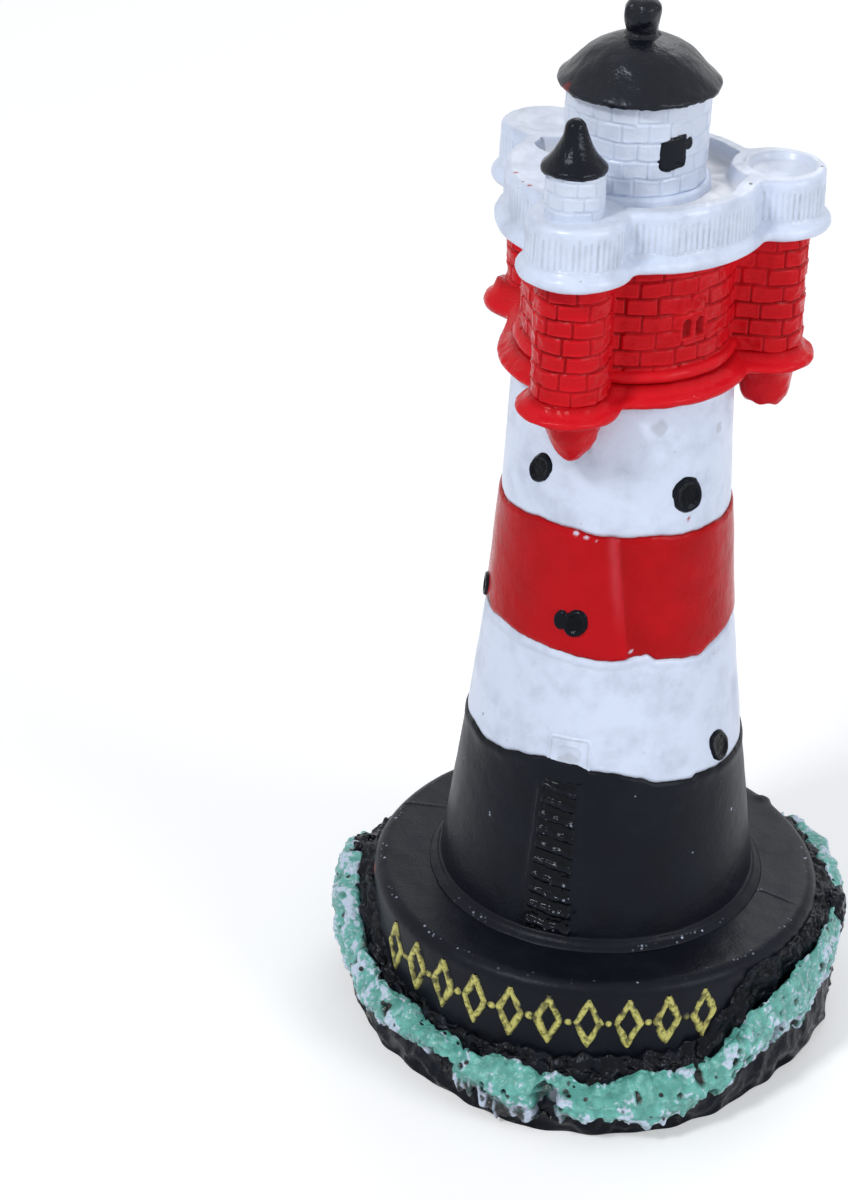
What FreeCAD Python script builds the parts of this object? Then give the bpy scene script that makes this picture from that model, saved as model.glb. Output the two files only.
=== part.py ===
import FreeCAD, Part
import math
import os
import Sketcher
from types import SimpleNamespace

# Sizes in millimetres, angles in degrees, counts as whole numbers
SIZES = {
    # Rock base and the crust of waves around it
    "rock_shelf": 2.4,
    "rock_belly": 0.7,
    "rock_lap": 0.5,
    "rock_tuck": 2.7,
    "rock_lump_reach": 0.3,
    "ridge_height": 20.0,
    "ridge_lump_rise": 0.3,
    "seat_height": 4.0,
    "crust_thickness": 3.0,
    "crust_height": 16.0,
    "crust_foot": 5.0,
    "crust_rounding": 0.9,
    "crust_lump_reach": 0.5,
    "crust_tooth_rise": 0.5,
    "crust_drip_rise": 0.6,
    "crag_radius": 3.8,
    "crag_height": 9.0,
    "crag_inset": 0.4,
    # Drum and its raised marks
    "drum_radius": 31.6,
    "drum_height": 18.4,
    "drum_shoulder": 1.8,
    "mark_height": 7.2,
    "mark_width": 3.6,
    "mark_stroke": 0.8,
    "mark_relief": 0.4,
    "mark_middle": 12.5,
    "mark_dot": 1.1,
    "mark_count": 10,
    "mark_start": -58.5,
    "mark_span": 88.5,
    # Tower shaft: each band narrows by its taper and is set back from the band below it by its step
    "foot_ring_reach": 1.35,
    "foot_ring_height": 1.5,
    "foot_ring_swell": 0.35,
    "base_foot_radius": 22.35,
    "base_taper": 3.4,
    "base_height": 25.6,
    "lower_step": 0.1,
    "lower_taper": 1.95,
    "lower_height": 16.7,
    "red_step": -0.15,
    "red_taper": 1.45,
    "red_height": 17.7,
    "upper_step": 0.25,
    "upper_taper": 0.85,
    "upper_height": 18.6,
    # Ladder on the tower base
    "ladder_angle": -15.0,
    "ladder_length": 22.6,
    "ladder_bond": 0.02,
    "ladder_panel_angle": 23.0,
    "ladder_panel_relief": 0.4,
    "ladder_rail_angle": 2.0,
    "ladder_rail_relief": 0.5,
    "rung_angle": 14.5,
    "rung_relief": 0.45,
    "rung_swell": 0.15,
    "rung_height": 0.9,
    "rung_pitch": 2.2,
    "rung_count": 10,
    # Door above the ladder
    "door_angle": -13.4,
    "door_width": 5.4,
    "door_height": 4.6,
    "door_corner": 1.1,
    "door_depth": 1.0,
    "door_relief": 0.7,
    "door_frame_width": 0.9,
    "door_leaf_sink": 0.35,
    "door_sill": 0.1,
    # Portholes
    "porthole_width": 2.9,
    "porthole_height": 3.6,
    "porthole_depth": 1.4,
    "porthole_relief": 0.25,
    "porthole_rim": 0.65,
    "porthole_sink": 0.7,
    # Ledge under the brick storey, with a skirt and a corbel below each oriel
    "ledge_reach": 2.1,
    "ledge_foot_inset": 0.8,
    "ledge_neck_inset": 1.7,
    "ledge_height": 2.4,
    "ledge_edge": 1.7,
    "ledge_swell": 0.18,
    "skirt_reach": 1.9,
    "skirt_foot_inset": 0.35,
    "skirt_neck_inset": 1.75,
    "skirt_edge": 0.85,
    "skirt_swell": 0.09,
    "skirt_hollow": 0.4,
    "corbel_inset": 1.05,
    "corbel_waist_radius": 2.9,
    "corbel_waist_height": 2.1,
    "corbel_point_drop": 6.6,
    "corbel_stub_drop": 5.6,
    "corbel_waist_swell": 0.45,
    "corbel_swell": 0.22,
    # Red brick storey
    "storey_inset": 0.76,
    "storey_height": 16.3,
    "course_height": 2.3,
    "joint_depth": 0.25,
    "bead_reach": 1.16,
    "bead_height": 1.6,
    "oriel_reach": 4.63,
    "oriel_radius": 4.83,
    "oriel_angle": -21.2,
    "oriel_count": 3,
    "storey_window_angle": 38.0,
    "storey_window_width": 4.6,
    "storey_window_height": 3.9,
    "storey_window_rise": 7.2,
    "storey_window_depth": 1.2,
    "storey_window_relief": 0.45,
    "light_width": 1.3,
    "light_height": 2.4,
    "light_gap": 0.7,
    "light_sink": 0.5,
    # Gallery
    "parapet_reach": 2.8,
    "parapet_wall": 1.9,
    "parapet_height": 5.6,
    "deck_height": 2.4,
    "cornice_reach": 1.05,
    "cornice_foot_inset": 1.0,
    "cornice_height": 2.4,
    "cornice_edge": 1.8,
    "cornice_swell": 0.15,
    "oriel_parapet_reach": 1.5,
    "oriel_parapet_wall": 2.1,
    "front_floor_height": 5.4,
    "rear_floor_height": 5.1,
    "bowl_rim_height": 4.7,
    "bowl_depth": 0.9,
    "bowl_hollow": 0.25,
    "bowl_flat_radius": 1.4,
    # Turret
    "turret_radius": 3.7,
    "turret_height": 5.6,
    "turret_shift": 0.4,
    "cap_shift": 0.67,
    "cap_reach": 0.5,
    "cap_height": 6.6,
    "cap_lip": 0.8,
    "cap_lip_swell": 0.27,
    "cap_tip_radius": 1.2,
    "cap_tip_height": 1.3,
    "cap_tip_swell": 0.25,
    "cap_flat_radius": 0.5,
    "cap_hollow": 0.55,
    # Lantern and roof
    "lantern_inset": 4.64,
    "lantern_height": 11.8,
    "lantern_course_height": 2.4,
    "lantern_joint_depth": 0.15,
    "plinth_reach": 0.7,
    "plinth_height": 2.3,
    "plinth_rounding": 0.25,
    "lantern_window_angle": 32.8,
    "lantern_window_width": 3.9,
    "lantern_window_height": 4.1,
    "lantern_window_rise": 5.5,
    "lantern_window_corner": 0.9,
    "lantern_window_depth": 1.2,
    "lantern_window_relief": 0.3,
    "lantern_window_rim": 0.5,
    "lantern_window_sink": 0.3,
    "roof_reach": 1.3,
    "roof_lip": 0.9,
    "roof_lip_swell": 0.3,
    "roof_height": 6.2,
    "roof_break_inset": 5.2,
    "roof_break_height": 4.9,
    "roof_swell": 0.45,
    "roof_hollow": 0.25,
    "neck_radius": 2.2,
    "knob_radius": 2.35,
    "knob_height": 4.8,
    "knob_middle": 2.6,
    "knob_side_swell": 0.25,
    "knob_swell": 0.5,
    "knob_flat_radius": 0.6,
    # How far a cutting tool runs past the face that it cuts
    "overrun": 1.0,
}

# Outline of the rock at the ground, as shares of its radius, every 15 degrees from the front
ROCK_SHARES = [
    1.015, 1.009, 0.991, 0.958, 0.962, 0.992, 1.018, 1.030, 1.024, 1.012, 1.029, 1.035,
    1.018, 1.029, 1.041, 1.024, 1.012, 1.026, 1.018, 0.990, 0.980, 0.968, 0.975, 1.012,
]
# Reach of the crust, as shares of its radius, in the same places
CRUST_SHARES = [
    1.030, 1.040, 1.000, 0.954, 0.948, 0.955, 0.970, 1.010, 1.015, 0.997, 1.016, 1.027,
    1.022, 1.024, 1.032, 1.008, 1.005, 1.030, 1.022, 0.985, 0.972, 0.962, 0.975, 1.003,
]
# Upper edge of the crust, as shares of crust_height
CREST_SHARES = [
    0.525, 0.61, 0.63, 0.97, 1.12, 1.14, 1.10, 1.15, 1.16, 1.02, 0.95, 1.04,
    0.94, 1.02, 1.06, 0.95, 1.04, 1.16, 1.07, 0.86, 0.70, 0.68, 0.58, 0.63,
]
# Height at which the rock meets the drum, as shares of ridge_height
RIDGE_SHARES = [
    0.56, 0.58, 0.63, 1.02, 1.03, 1.02, 1.00, 0.99, 1.01, 0.95, 0.93, 0.94,
    0.89, 0.93, 0.97, 0.92, 0.94, 1.01, 0.99, 0.88, 0.59, 0.57, 0.54, 0.55,
]
# Lower edge of the crust, as shares of crust_foot
HEM_SHARES = [
    0.80, 0.64, 1.04, 1.48, 1.40, 1.75, 1.75, 1.50, 1.30, 1.00, 1.10, 1.00,
    0.86, 1.10, 0.96, 1.14, 1.10, 1.40, 1.36, 1.16, 0.90, 1.20, 0.88, 0.46,
]
# Places at which each ring of the rock and the crust is drawn
RING_PLACES = 144
# Lumps around a ring: how many there are of a broad and a narrow kind, and their turn per ring
LUMP_COUNTS = (23, 36)
LUMP_TURNS = (1.9, -2.6)
# A crag's corners as shares of crag_radius, at its foot, its middle and its top
CRAG_SHARES = [
    [1.00, 0.85, 1.05, 0.90, 1.00],
    [0.97, 0.84, 0.92, 1.00, 0.86],
    [0.66, 0.74, 0.60, 0.70, 0.72],
]
# Where a crag's middle and top lie, as shares of crag_height
CRAG_LEVEL_SHARES = [0.0, 0.72, 1.0]
# Crags: name, angle from the front, and height as a share of crag_height
CRAGS = [("crag_right", 97.0, 1.6), ("crag_rear", -104.0, 1.65)]
# Portholes: tower band, angle from the front, and height as a share of the band's height
PORTHOLES = [
    ("upper", -39.7, 0.41),
    ("upper", 36.7, 0.30),
    ("red", -17.0, 0.266),
    ("red", -90.0, 0.147),
    ("lower", 54.9, 0.126),
    ("upper", 150.0, 0.36),
    ("red", 128.0, 0.52),
    ("lower", -150.0, 0.45),
]
ORIEL_NAMES = ["front", "right", "rear"]
PARAPET_NAMES = ["front", "rear", "left"]
FULL_TURN = 360.0
QUARTER_TURN = 90.0
# Rise of an eighth of a circle's chord, as a share of the corner's radius
CORNER_SHARE = 1.0 - math.sqrt(0.5)
# Rounding of a parapet's rim, as a share of its wall
RIM_SHARE = 0.4


class Size:
    """A size as a number, with the sheet formula that gives the same number."""

    def __init__(self, value, formula):
        self.value = value
        self.formula = formula

    def combined(self, sign, other, value):
        return Size(value, f"({self.formula} {sign} {as_size(other).formula})")

    def __add__(self, other):
        return self.combined("+", other, self.value + as_size(other).value)

    def __sub__(self, other):
        return self.combined("-", other, self.value - as_size(other).value)

    def __mul__(self, other):
        return self.combined("*", other, self.value * as_size(other).value)

    def __truediv__(self, other):
        return self.combined("/", other, self.value / as_size(other).value)

    def __neg__(self):
        return Size(-self.value, f"(0 - {self.formula})")


def as_size(number):
    return number if isinstance(number, Size) else Size(float(number), f"{float(number):.9g}")


doc = FreeCAD.newDocument("Lighthouse")
sheet = doc.addObject("Spreadsheet::Sheet", "Sizes")
for row, (alias, amount) in enumerate(SIZES.items(), start=1):
    sheet.set(f"A{row}", alias)
    sheet.set(f"B{row}", str(amount))
    sheet.setAlias(f"B{row}", alias)
doc.recompute()
S = SimpleNamespace(**{alias: Size(amount, f"Sizes.{alias}") for alias, amount in SIZES.items()})
ZERO = as_size(0)
PARTS = {}


# Shared ways of making a piece


def keep(name, item):
    """Names a finished piece, so that it is written as a part."""
    item.Label = name
    PARTS[name] = item
    return item


def stand(item, height=ZERO, angle=0.0, out=ZERO, lean=0.0, across=ZERO):
    """Stands an item at a height, turned to an angle from the front and moved out from the axis."""
    turn = math.radians(angle)
    base_x = out * math.sin(turn) + across * math.cos(turn)
    base_y = across * math.sin(turn) - out * math.cos(turn)
    spin = FreeCAD.Rotation(FreeCAD.Vector(0, 0, 1), angle)
    tip_back = FreeCAD.Rotation(FreeCAD.Vector(1, 0, 0), -lean)
    item.Placement = FreeCAD.Placement(
        FreeCAD.Vector(base_x.value, base_y.value, height.value), spin.multiply(tip_back)
    )
    for axis, place in (("x", base_x), ("y", base_y), ("z", height)):
        item.setExpression(f"Placement.Base.{axis}", place.formula)
    return item


def run_shape(start, end, bulge):
    """A straight run between two points, or an arc that swells to the right of its way by bulge.
    It comes with the arc's radius and with True where the arc is drawn from end to start."""
    first = FreeCAD.Vector(start[0].value, start[1].value, 0)
    last = FreeCAD.Vector(end[0].value, end[1].value, 0)
    if bulge is None:
        return Part.LineSegment(first, last), None, False
    rise = bulge if bulge.value > 0 else -bulge
    wide = end[0] - start[0]
    tall = end[1] - start[1]
    radius = (wide * wide + tall * tall) / (rise * 8) + rise / 2
    chord = last - first
    left = FreeCAD.Vector(-chord.y, chord.x, 0).normalize()
    inward = left if bulge.value > 0 else -left
    centre = (first + last) * 0.5 + inward * (radius.value - rise.value)
    if bulge.value < 0:
        first, last = last, first
    start_turn = math.atan2(first.y - centre.y, first.x - centre.x)
    end_turn = math.atan2(last.y - centre.y, last.x - centre.x)
    circle = Part.Circle(centre, FreeCAD.Vector(0, 0, 1), radius.value)
    return Part.ArcOfCircle(circle, start_turn, end_turn), radius, bulge.value < 0


def hold_point(sketch, curve, end, point):
    """Holds one end of a curve at its two distances from the sketch's origin."""
    for kind, distance, axis in (("DistanceX", point[0], -2), ("DistanceY", point[1], -1)):
        if distance is ZERO:
            sketch.addConstraint(Sketcher.Constraint("PointOnObject", curve, end, axis))
            continue
        held = sketch.addConstraint(Sketcher.Constraint(kind, -1, 1, curve, end, distance.value))
        sketch.setExpression(f"Constraints[{held}]", distance.formula)


def draw(sketch, points):
    """Draws one closed outline of (across, up) points. A third entry is the bulge of the run
    that arrives at the point."""
    ends = []
    for start, end in zip(points[-1:] + points[:-1], points):
        bulge = end[2] if len(end) > 2 else None
        shape, radius, reverse = run_shape(start, end, bulge)
        curve = sketch.addGeometry(shape, False)
        if radius is not None:
            held = sketch.addConstraint(Sketcher.Constraint("Radius", curve, radius.value))
            sketch.setExpression(f"Constraints[{held}]", radius.formula)
        ends.append((curve, 2 if reverse else 1, 1 if reverse else 2))
    for before, after, point in zip(ends, ends[1:] + ends[:1], points):
        sketch.addConstraint(
            Sketcher.Constraint("Coincident", before[0], before[2], after[0], after[1])
        )
        hold_point(sketch, after[0], after[1], point)


def new_sketch(body, name, outlines, forward=ZERO):
    """A sketch on the body's front plane, moved forward by a distance."""
    sketch = body.newObject("Sketcher::SketchObject", name)
    plane = [item for item in body.Origin.OriginFeatures if item.Role == "XZ_Plane"][0]
    sketch.AttachmentSupport = (plane, [""])
    sketch.MapMode = "FlatFace"
    if forward is not ZERO:
        sketch.setExpression("AttachmentOffset.Base.z", forward.formula)
    for points in outlines:
        draw(sketch, points)
    return sketch


def turned(name, points, angle=None):
    """A body turned about its upright axis. With an angle it is a slice, centred on its +X side."""
    body = doc.addObject("PartDesign::Body", name)
    sketch = new_sketch(body, name + "_outline", [points])
    turn = body.newObject("PartDesign::Revolution", name + "_turn")
    turn.Profile = sketch
    turn.ReferenceAxis = (sketch, ["V_Axis"])
    turn.Angle = FULL_TURN
    if angle is not None:
        turn.Midplane = True
        turn.Angle = angle.value
        turn.setExpression("Angle", angle.formula)
    return body


def plate(name, outlines, thickness, forward=ZERO):
    """A body padded towards the front from outlines on its front plane."""
    body = doc.addObject("PartDesign::Body", name)
    sketch = new_sketch(body, name + "_outline", outlines, forward)
    pad = body.newObject("PartDesign::Pad", name + "_pad")
    pad.Profile = sketch
    pad.Length = thickness.value
    pad.setExpression("Length", thickness.formula)
    return body


def sink(body, name, outlines, face, depth):
    """A pocket cut into the body's front face, which stands forward of its plane by face."""
    sketch = new_sketch(body, name + "_outline", outlines, face)
    pocket = body.newObject("PartDesign::Pocket", name)
    pocket.Profile = sketch
    pocket.Length = depth.value
    pocket.setExpression("Length", depth.formula)
    return body


def combined(kind, name, items):
    """Several items as one Part::MultiFuse or Part::Compound."""
    item = doc.addObject(kind, name)
    if kind == "Part::Compound":
        item.Links = items
    else:
        item.Shapes = items
    return item


def cut(name, base, tools):
    """The base with the tools' space taken out of it."""
    item = doc.addObject("Part::Cut", name)
    item.Base = base
    item.Tool = tools[0] if len(tools) == 1 else combined("Part::Compound", name + "_tools", tools)
    return item


def box_outline(width, height, corner=None):
    """A rectangle centred on the origin, with round corners where a corner radius is given."""
    half_wide = width / 2
    half_tall = height / 2
    if corner is None:
        return [
            (-half_wide, -half_tall),
            (half_wide, -half_tall),
            (half_wide, half_tall),
            (-half_wide, half_tall),
        ]
    flat_wide = half_wide - corner
    flat_tall = half_tall - corner
    rise = corner * CORNER_SHARE
    return [
        (-flat_wide, -half_tall, rise),
        (flat_wide, -half_tall),
        (half_wide, -flat_tall, rise),
        (half_wide, flat_tall),
        (flat_wide, half_tall, rise),
        (-flat_wide, half_tall),
        (-half_wide, flat_tall, rise),
        (-half_wide, -flat_tall),
    ]


def oval_outline(width, height):
    """Two half circles joined by straight sides, centred on the origin."""
    half_wide = width / 2
    side = (height - width) / 2
    rise = half_wide * CORNER_SHARE
    return [
        (-half_wide, -side),
        (ZERO, -height / 2, rise),
        (half_wide, -side, rise),
        (half_wide, side),
        (ZERO, height / 2, rise),
        (-half_wide, side, rise),
    ]


def ring_outline(inner, outer, height):
    """The section of an upright wall with a rounded top."""
    rounding = (outer - inner) * RIM_SHARE
    rise = rounding * CORNER_SHARE
    return [
        (inner, ZERO),
        (outer, ZERO),
        (outer, height - rounding),
        (outer - rounding, height, rise),
        (inner + rounding, height),
        (inner, height - rounding, rise),
    ]


def brick_outline(radius, height, course, depth):
    """The section of a round brick wall, with a joint scored between its courses."""
    points = [(ZERO, ZERO), (radius, ZERO)]
    for joint in range(1, round(height.value / course.value)):
        level = course * joint
        points += [
            (radius, level - depth),
            (radius - depth, level),
            (radius, level + depth),
        ]
    return points + [(radius, height), (ZERO, height)]


# Radii that follow from the drum and from the tower's foot

rock_radius = S.drum_radius + S.rock_shelf
crust_radius = rock_radius + S.crust_thickness
base_top_radius = S.base_foot_radius - S.base_taper
lower_foot_radius = base_top_radius - S.lower_step
lower_top_radius = lower_foot_radius - S.lower_taper
red_foot_radius = lower_top_radius - S.red_step
red_top_radius = red_foot_radius - S.red_taper
upper_foot_radius = red_top_radius - S.upper_step
upper_top_radius = upper_foot_radius - S.upper_taper
ledge_radius = upper_top_radius + S.ledge_reach
storey_radius = upper_top_radius - S.storey_inset
parapet_radius = storey_radius + S.parapet_reach
cornice_radius = parapet_radius + S.cornice_reach
lantern_radius = storey_radius - S.lantern_inset
roof_radius = lantern_radius + S.roof_reach
oriel_distance = storey_radius + S.oriel_reach
skirt_radius = S.oriel_radius + S.skirt_reach
oriel_parapet_radius = S.oriel_radius + S.oriel_parapet_reach
cornice_oriel_radius = oriel_parapet_radius + S.cornice_reach

# Levels from the ground up

drum_top = S.seat_height + S.drum_height
base_top = drum_top + S.base_height
lower_top = base_top + S.lower_height
red_top = lower_top + S.red_height
upper_top = red_top + S.upper_height
ledge_top = upper_top + S.ledge_height
storey_top = ledge_top + S.storey_height
cornice_top = storey_top + S.cornice_height
deck_top = cornice_top + S.deck_height
plinth_top = deck_top + S.plinth_height
lantern_top = plinth_top + S.lantern_height
roof_top = lantern_top + S.roof_height
ORIEL_STEP = FULL_TURN / SIZES["oriel_count"]
ORIEL_ANGLES = [
    SIZES["oriel_angle"] + ORIEL_STEP * number for number in range(SIZES["oriel_count"])
]


# Rock base, crust of waves and crags


def ring_wire(radius_list, height_list):
    """A closed smooth wire around the axis through evenly spaced places, the first at the front."""
    points = []
    for number, (radius, height) in enumerate(zip(radius_list, height_list)):
        turn = 2 * math.pi * number / len(radius_list)
        points.append(FreeCAD.Vector(radius * math.sin(turn), -radius * math.cos(turn), height))
    curve = Part.BSplineCurve()
    curve.interpolate(Points=points, PeriodicFlag=True)
    return Part.Wire([curve.toShape()])


def feature(name, shape):
    item = doc.addObject("Part::Feature", name)
    item.Shape = shape
    return item


def lofted_ring(name, levels):
    """A closed solid through rings of (radii, heights), from its flat foot to its flat top."""
    return feature(name, Part.makeLoft([ring_wire(*level) for level in levels], True, True))


def level_ring(value):
    return [value] * RING_PLACES


def smooth_share(share_list, place):
    """Follows the shares without corners. A place is counted in steps of the list."""
    number = int(place)
    part = place - number
    before, start, end, after = [
        share_list[(number + offset) % len(share_list)] for offset in (-1, 0, 1, 2)
    ]
    bend = 2 * before - 5 * start + 4 * end - after
    twist = 3 * (start - end) + after - before
    return start + part / 2 * (end - before + part * (bend + part * twist))


def lump(number, ring):
    """How far a place lies on a lump or in a hollow of its ring, from -1 to 1."""
    turn = 2 * math.pi * number / RING_PLACES
    waves = [math.sin(count * turn + ring * shift) for count, shift in zip(LUMP_COUNTS, LUMP_TURNS)]
    return sum(waves) / len(waves)


def uneven(share_list, size, lump_size, ring, extra=0.0):
    """A ring's values: its shares of a size, with lumps of another size on them."""
    step = len(share_list) / RING_PLACES
    return [
        smooth_share(share_list, number * step) * size.value
        + lump(number, ring) * lump_size.value
        + extra
        for number in range(RING_PLACES)
    ]


def crest_line():
    return uneven(CREST_SHARES, S.crust_height, S.crust_tooth_rise, 5)


def rock_form():
    """The whole lump of rock, before the drum's seat is cut out of it."""
    belly = S.rock_belly.value
    seat = S.seat_height.value
    tuck = S.rock_tuck.value
    ridge = uneven(RIDGE_SHARES, S.ridge_height, S.ridge_lump_rise, 1)
    lap, under, inside = (
        level_ring(S.drum_radius.value + reach) for reach in (S.rock_lap.value, -tuck / 2, -tuck)
    )
    return lofted_ring(
        "rock_form",
        [
            (uneven(ROCK_SHARES, rock_radius, S.rock_lump_reach, 0), level_ring(0.0)),
            (uneven(ROCK_SHARES, rock_radius, S.rock_lump_reach, 1, belly), level_ring(seat)),
            (
                uneven(ROCK_SHARES, rock_radius, S.rock_lump_reach, 2),
                [height - belly for height in crest_line()],
            ),
            (lap, ridge),
            (under, ridge),
            (inside, level_ring(seat + S.drum_height.value / 2)),
        ],
    )


def crag_form(name, height_share):
    """A rough stone, lofted straight between three uneven rings of corners."""
    rings = []
    for shares, level in zip(CRAG_SHARES, CRAG_LEVEL_SHARES):
        corners = []
        for number, share in enumerate(shares):
            turn = 2 * math.pi * number / len(shares)
            reach = share * S.crag_radius.value
            height = level * height_share * S.crag_height.value
            corners.append(
                FreeCAD.Vector(reach * math.sin(turn), -reach * math.cos(turn), height)
            )
        rings.append(Part.makePolygon(corners + corners[:1]))
    return feature(name + "_form", Part.makeLoft(rings, True, True))


def crust_form():
    """The crust, before the rock, drum and crags are cut out of it."""
    rounding = S.crust_rounding.value
    hem = uneven(HEM_SHARES, S.crust_foot, S.crust_drip_rise, 6)
    crest = crest_line()
    inside = level_ring(S.drum_radius.value - S.rock_tuck.value)
    rock = uneven(ROCK_SHARES, rock_radius, S.rock_lump_reach, 1, -rounding)
    swells = [0.0, rounding / 2, rounding / 2, 0.0]
    levels = [
        (inside, level_ring(S.crust_foot.value / 2)),
        (rock, [height - rounding for height in hem]),
    ]
    for number, swell in enumerate(swells):
        share = number / (len(swells) - 1)
        reach = uneven(CRUST_SHARES, crust_radius, S.crust_lump_reach, number, swell * 2 - rounding)
        heights = [
            low + (high - rounding - low) * share for low, high in zip(hem, crest)
        ]
        levels.append((reach, heights))
    levels += [(rock, crest), (inside, level_ring(S.seat_height.value + rounding))]
    return lofted_ring("crust_form", levels)


def build_base():
    shoulder = S.drum_shoulder
    drum = turned(
        "drum",
        [
            (ZERO, ZERO),
            (S.drum_radius, ZERO),
            (S.drum_radius, S.drum_height - shoulder),
            (S.drum_radius - shoulder, S.drum_height, shoulder * CORNER_SHARE),
            (ZERO, S.drum_height),
        ],
    )
    keep("drum", stand(drum, S.seat_height))
    rock = rock_form()
    keep("rock_base", cut("rock_cut", rock, [drum]))
    crags = []
    for name, angle, height_share in CRAGS:
        crag = stand(crag_form(name, height_share), S.seat_height, angle, rock_radius - S.crag_inset)
        crags.append(crag)
        keep(name, cut(name + "_cut", crag, [rock, drum]))
    keep("wave_collar", cut("crust_cut", crust_form(), [rock, drum] + crags))


def mark_row(name, outlines, angle, span, count):
    """A row of the same mark around the drum, standing out through its side."""
    start = S.drum_radius - S.overrun
    body = plate(name, outlines, S.mark_relief + S.overrun * 2, start)
    pattern = body.newObject("PartDesign::PolarPattern", name + "_pattern")
    pattern.Originals = [body.Tip]
    axis = [item for item in body.Origin.OriginFeatures if item.Role == "Z_Axis"][0]
    pattern.Axis = (axis, [""])
    pattern.Angle = span.value
    pattern.Occurrences = int(count.value)
    pattern.setExpression("Angle", span.formula)
    pattern.setExpression("Occurrences", count.formula)
    body.Tip = pattern
    return stand(body, S.seat_height, angle.value)


def build_marks():
    """Raised open diamonds with a dot between each two, in a row on the drum's side."""
    middle = S.mark_middle
    half_wide = S.mark_width / 2
    half_tall = S.mark_height / 2
    inner_wide = half_wide - S.mark_stroke
    inner_tall = inner_wide * S.mark_height / S.mark_width
    dot = S.mark_dot / 2
    diamonds = [
        [(ZERO, middle - tall), (wide, middle), (ZERO, middle + tall), (-wide, middle)]
        for wide, tall in ((half_wide, half_tall), (inner_wide, inner_tall))
    ]
    rise = dot * CORNER_SHARE
    dots = [
        [
            (ZERO, middle - dot, rise),
            (dot, middle, rise),
            (ZERO, middle + dot, rise),
            (-dot, middle, rise),
        ]
    ]
    start = S.mark_start
    span = S.mark_span
    count = S.mark_count
    step = span / (count - 1)
    rows = [
        mark_row("mark_diamonds", diamonds, start, span, count),
        mark_row("mark_dots", dots, start + step / 2, span - step, count - 1),
    ]
    row = combined("Part::Compound", "mark_rows", rows)
    skin = turned(
        "mark_skin",
        [
            (S.drum_radius, ZERO),
            (S.drum_radius + S.mark_relief, ZERO),
            (S.drum_radius + S.mark_relief, S.drum_height - S.drum_shoulder),
            (S.drum_radius, S.drum_height - S.drum_shoulder),
        ],
    )
    stand(skin, S.seat_height)
    ornament = doc.addObject("Part::Common", "mark_common")
    ornament.Base = skin
    ornament.Tool = row
    keep("drum_ornament", ornament)


# Tower shaft


def base_radius_at(rise):
    """The radius of the tower base at a rise above the drum."""
    return S.base_foot_radius - (S.base_foot_radius - base_top_radius) * rise / S.base_height


def band_form(name, foot_radius, top_radius, height, level):
    band = turned(
        name, [(ZERO, ZERO), (foot_radius, ZERO), (top_radius, height), (ZERO, height)]
    )
    return stand(band, level)


def plug(name, outline, depth, relief):
    """A plate that sits in a wall, and the form that cuts its socket."""
    reach = depth + relief
    return plate(name, [outline], reach), plate(name + "_socket", [outline], reach)


def build_porthole(name, band, angle, height_share):
    """An oval black pane, dished inside its rim, square to the tower's slope."""
    rise = band.height * height_share
    radius = band.foot - (band.foot - band.top) * height_share
    lean = math.degrees(math.atan2(band.foot.value - band.top.value, band.height.value))
    outline = oval_outline(S.porthole_width, S.porthole_height)
    pane, socket = plug(name, outline, S.porthole_depth, S.porthole_relief)
    dish = oval_outline(
        S.porthole_width - S.porthole_rim * 2, S.porthole_height - S.porthole_rim * 2
    )
    face = S.porthole_depth + S.porthole_relief
    sink(pane, name + "_dish", [dish], face, S.porthole_sink)
    for item in (pane, socket):
        stand(item, band.level + rise, angle, radius - S.porthole_depth, lean)
    keep(name, pane)
    return socket


def build_door():
    """A round-cornered frame just above the ladder, with its leaf a little sunk."""
    outline = box_outline(S.door_width, S.door_height, S.door_corner)
    opening_wide = S.door_width - S.door_frame_width * 2
    opening_tall = S.door_height - S.door_frame_width * 2
    opening = box_outline(opening_wide, opening_tall)
    reach = S.door_depth + S.door_relief
    frame = plate("door_frame_form", [outline, opening], reach)
    leaf = plate("door_leaf_form", [opening], reach - S.door_leaf_sink)
    socket = plate("door_socket", [outline], reach)
    rise = S.door_height / 2 + S.door_sill
    radius = lower_foot_radius - (lower_foot_radius - lower_top_radius) * (
        rise / S.lower_height
    )
    slope = lower_foot_radius.value - lower_top_radius.value
    lean = math.degrees(math.atan2(slope, S.lower_height.value))
    for item in (frame, leaf, socket):
        stand(item, base_top + rise, SIZES["door_angle"], radius - S.door_depth, lean)
    keep("door_frame", frame)
    keep("door_leaf", leaf)
    return socket


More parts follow.
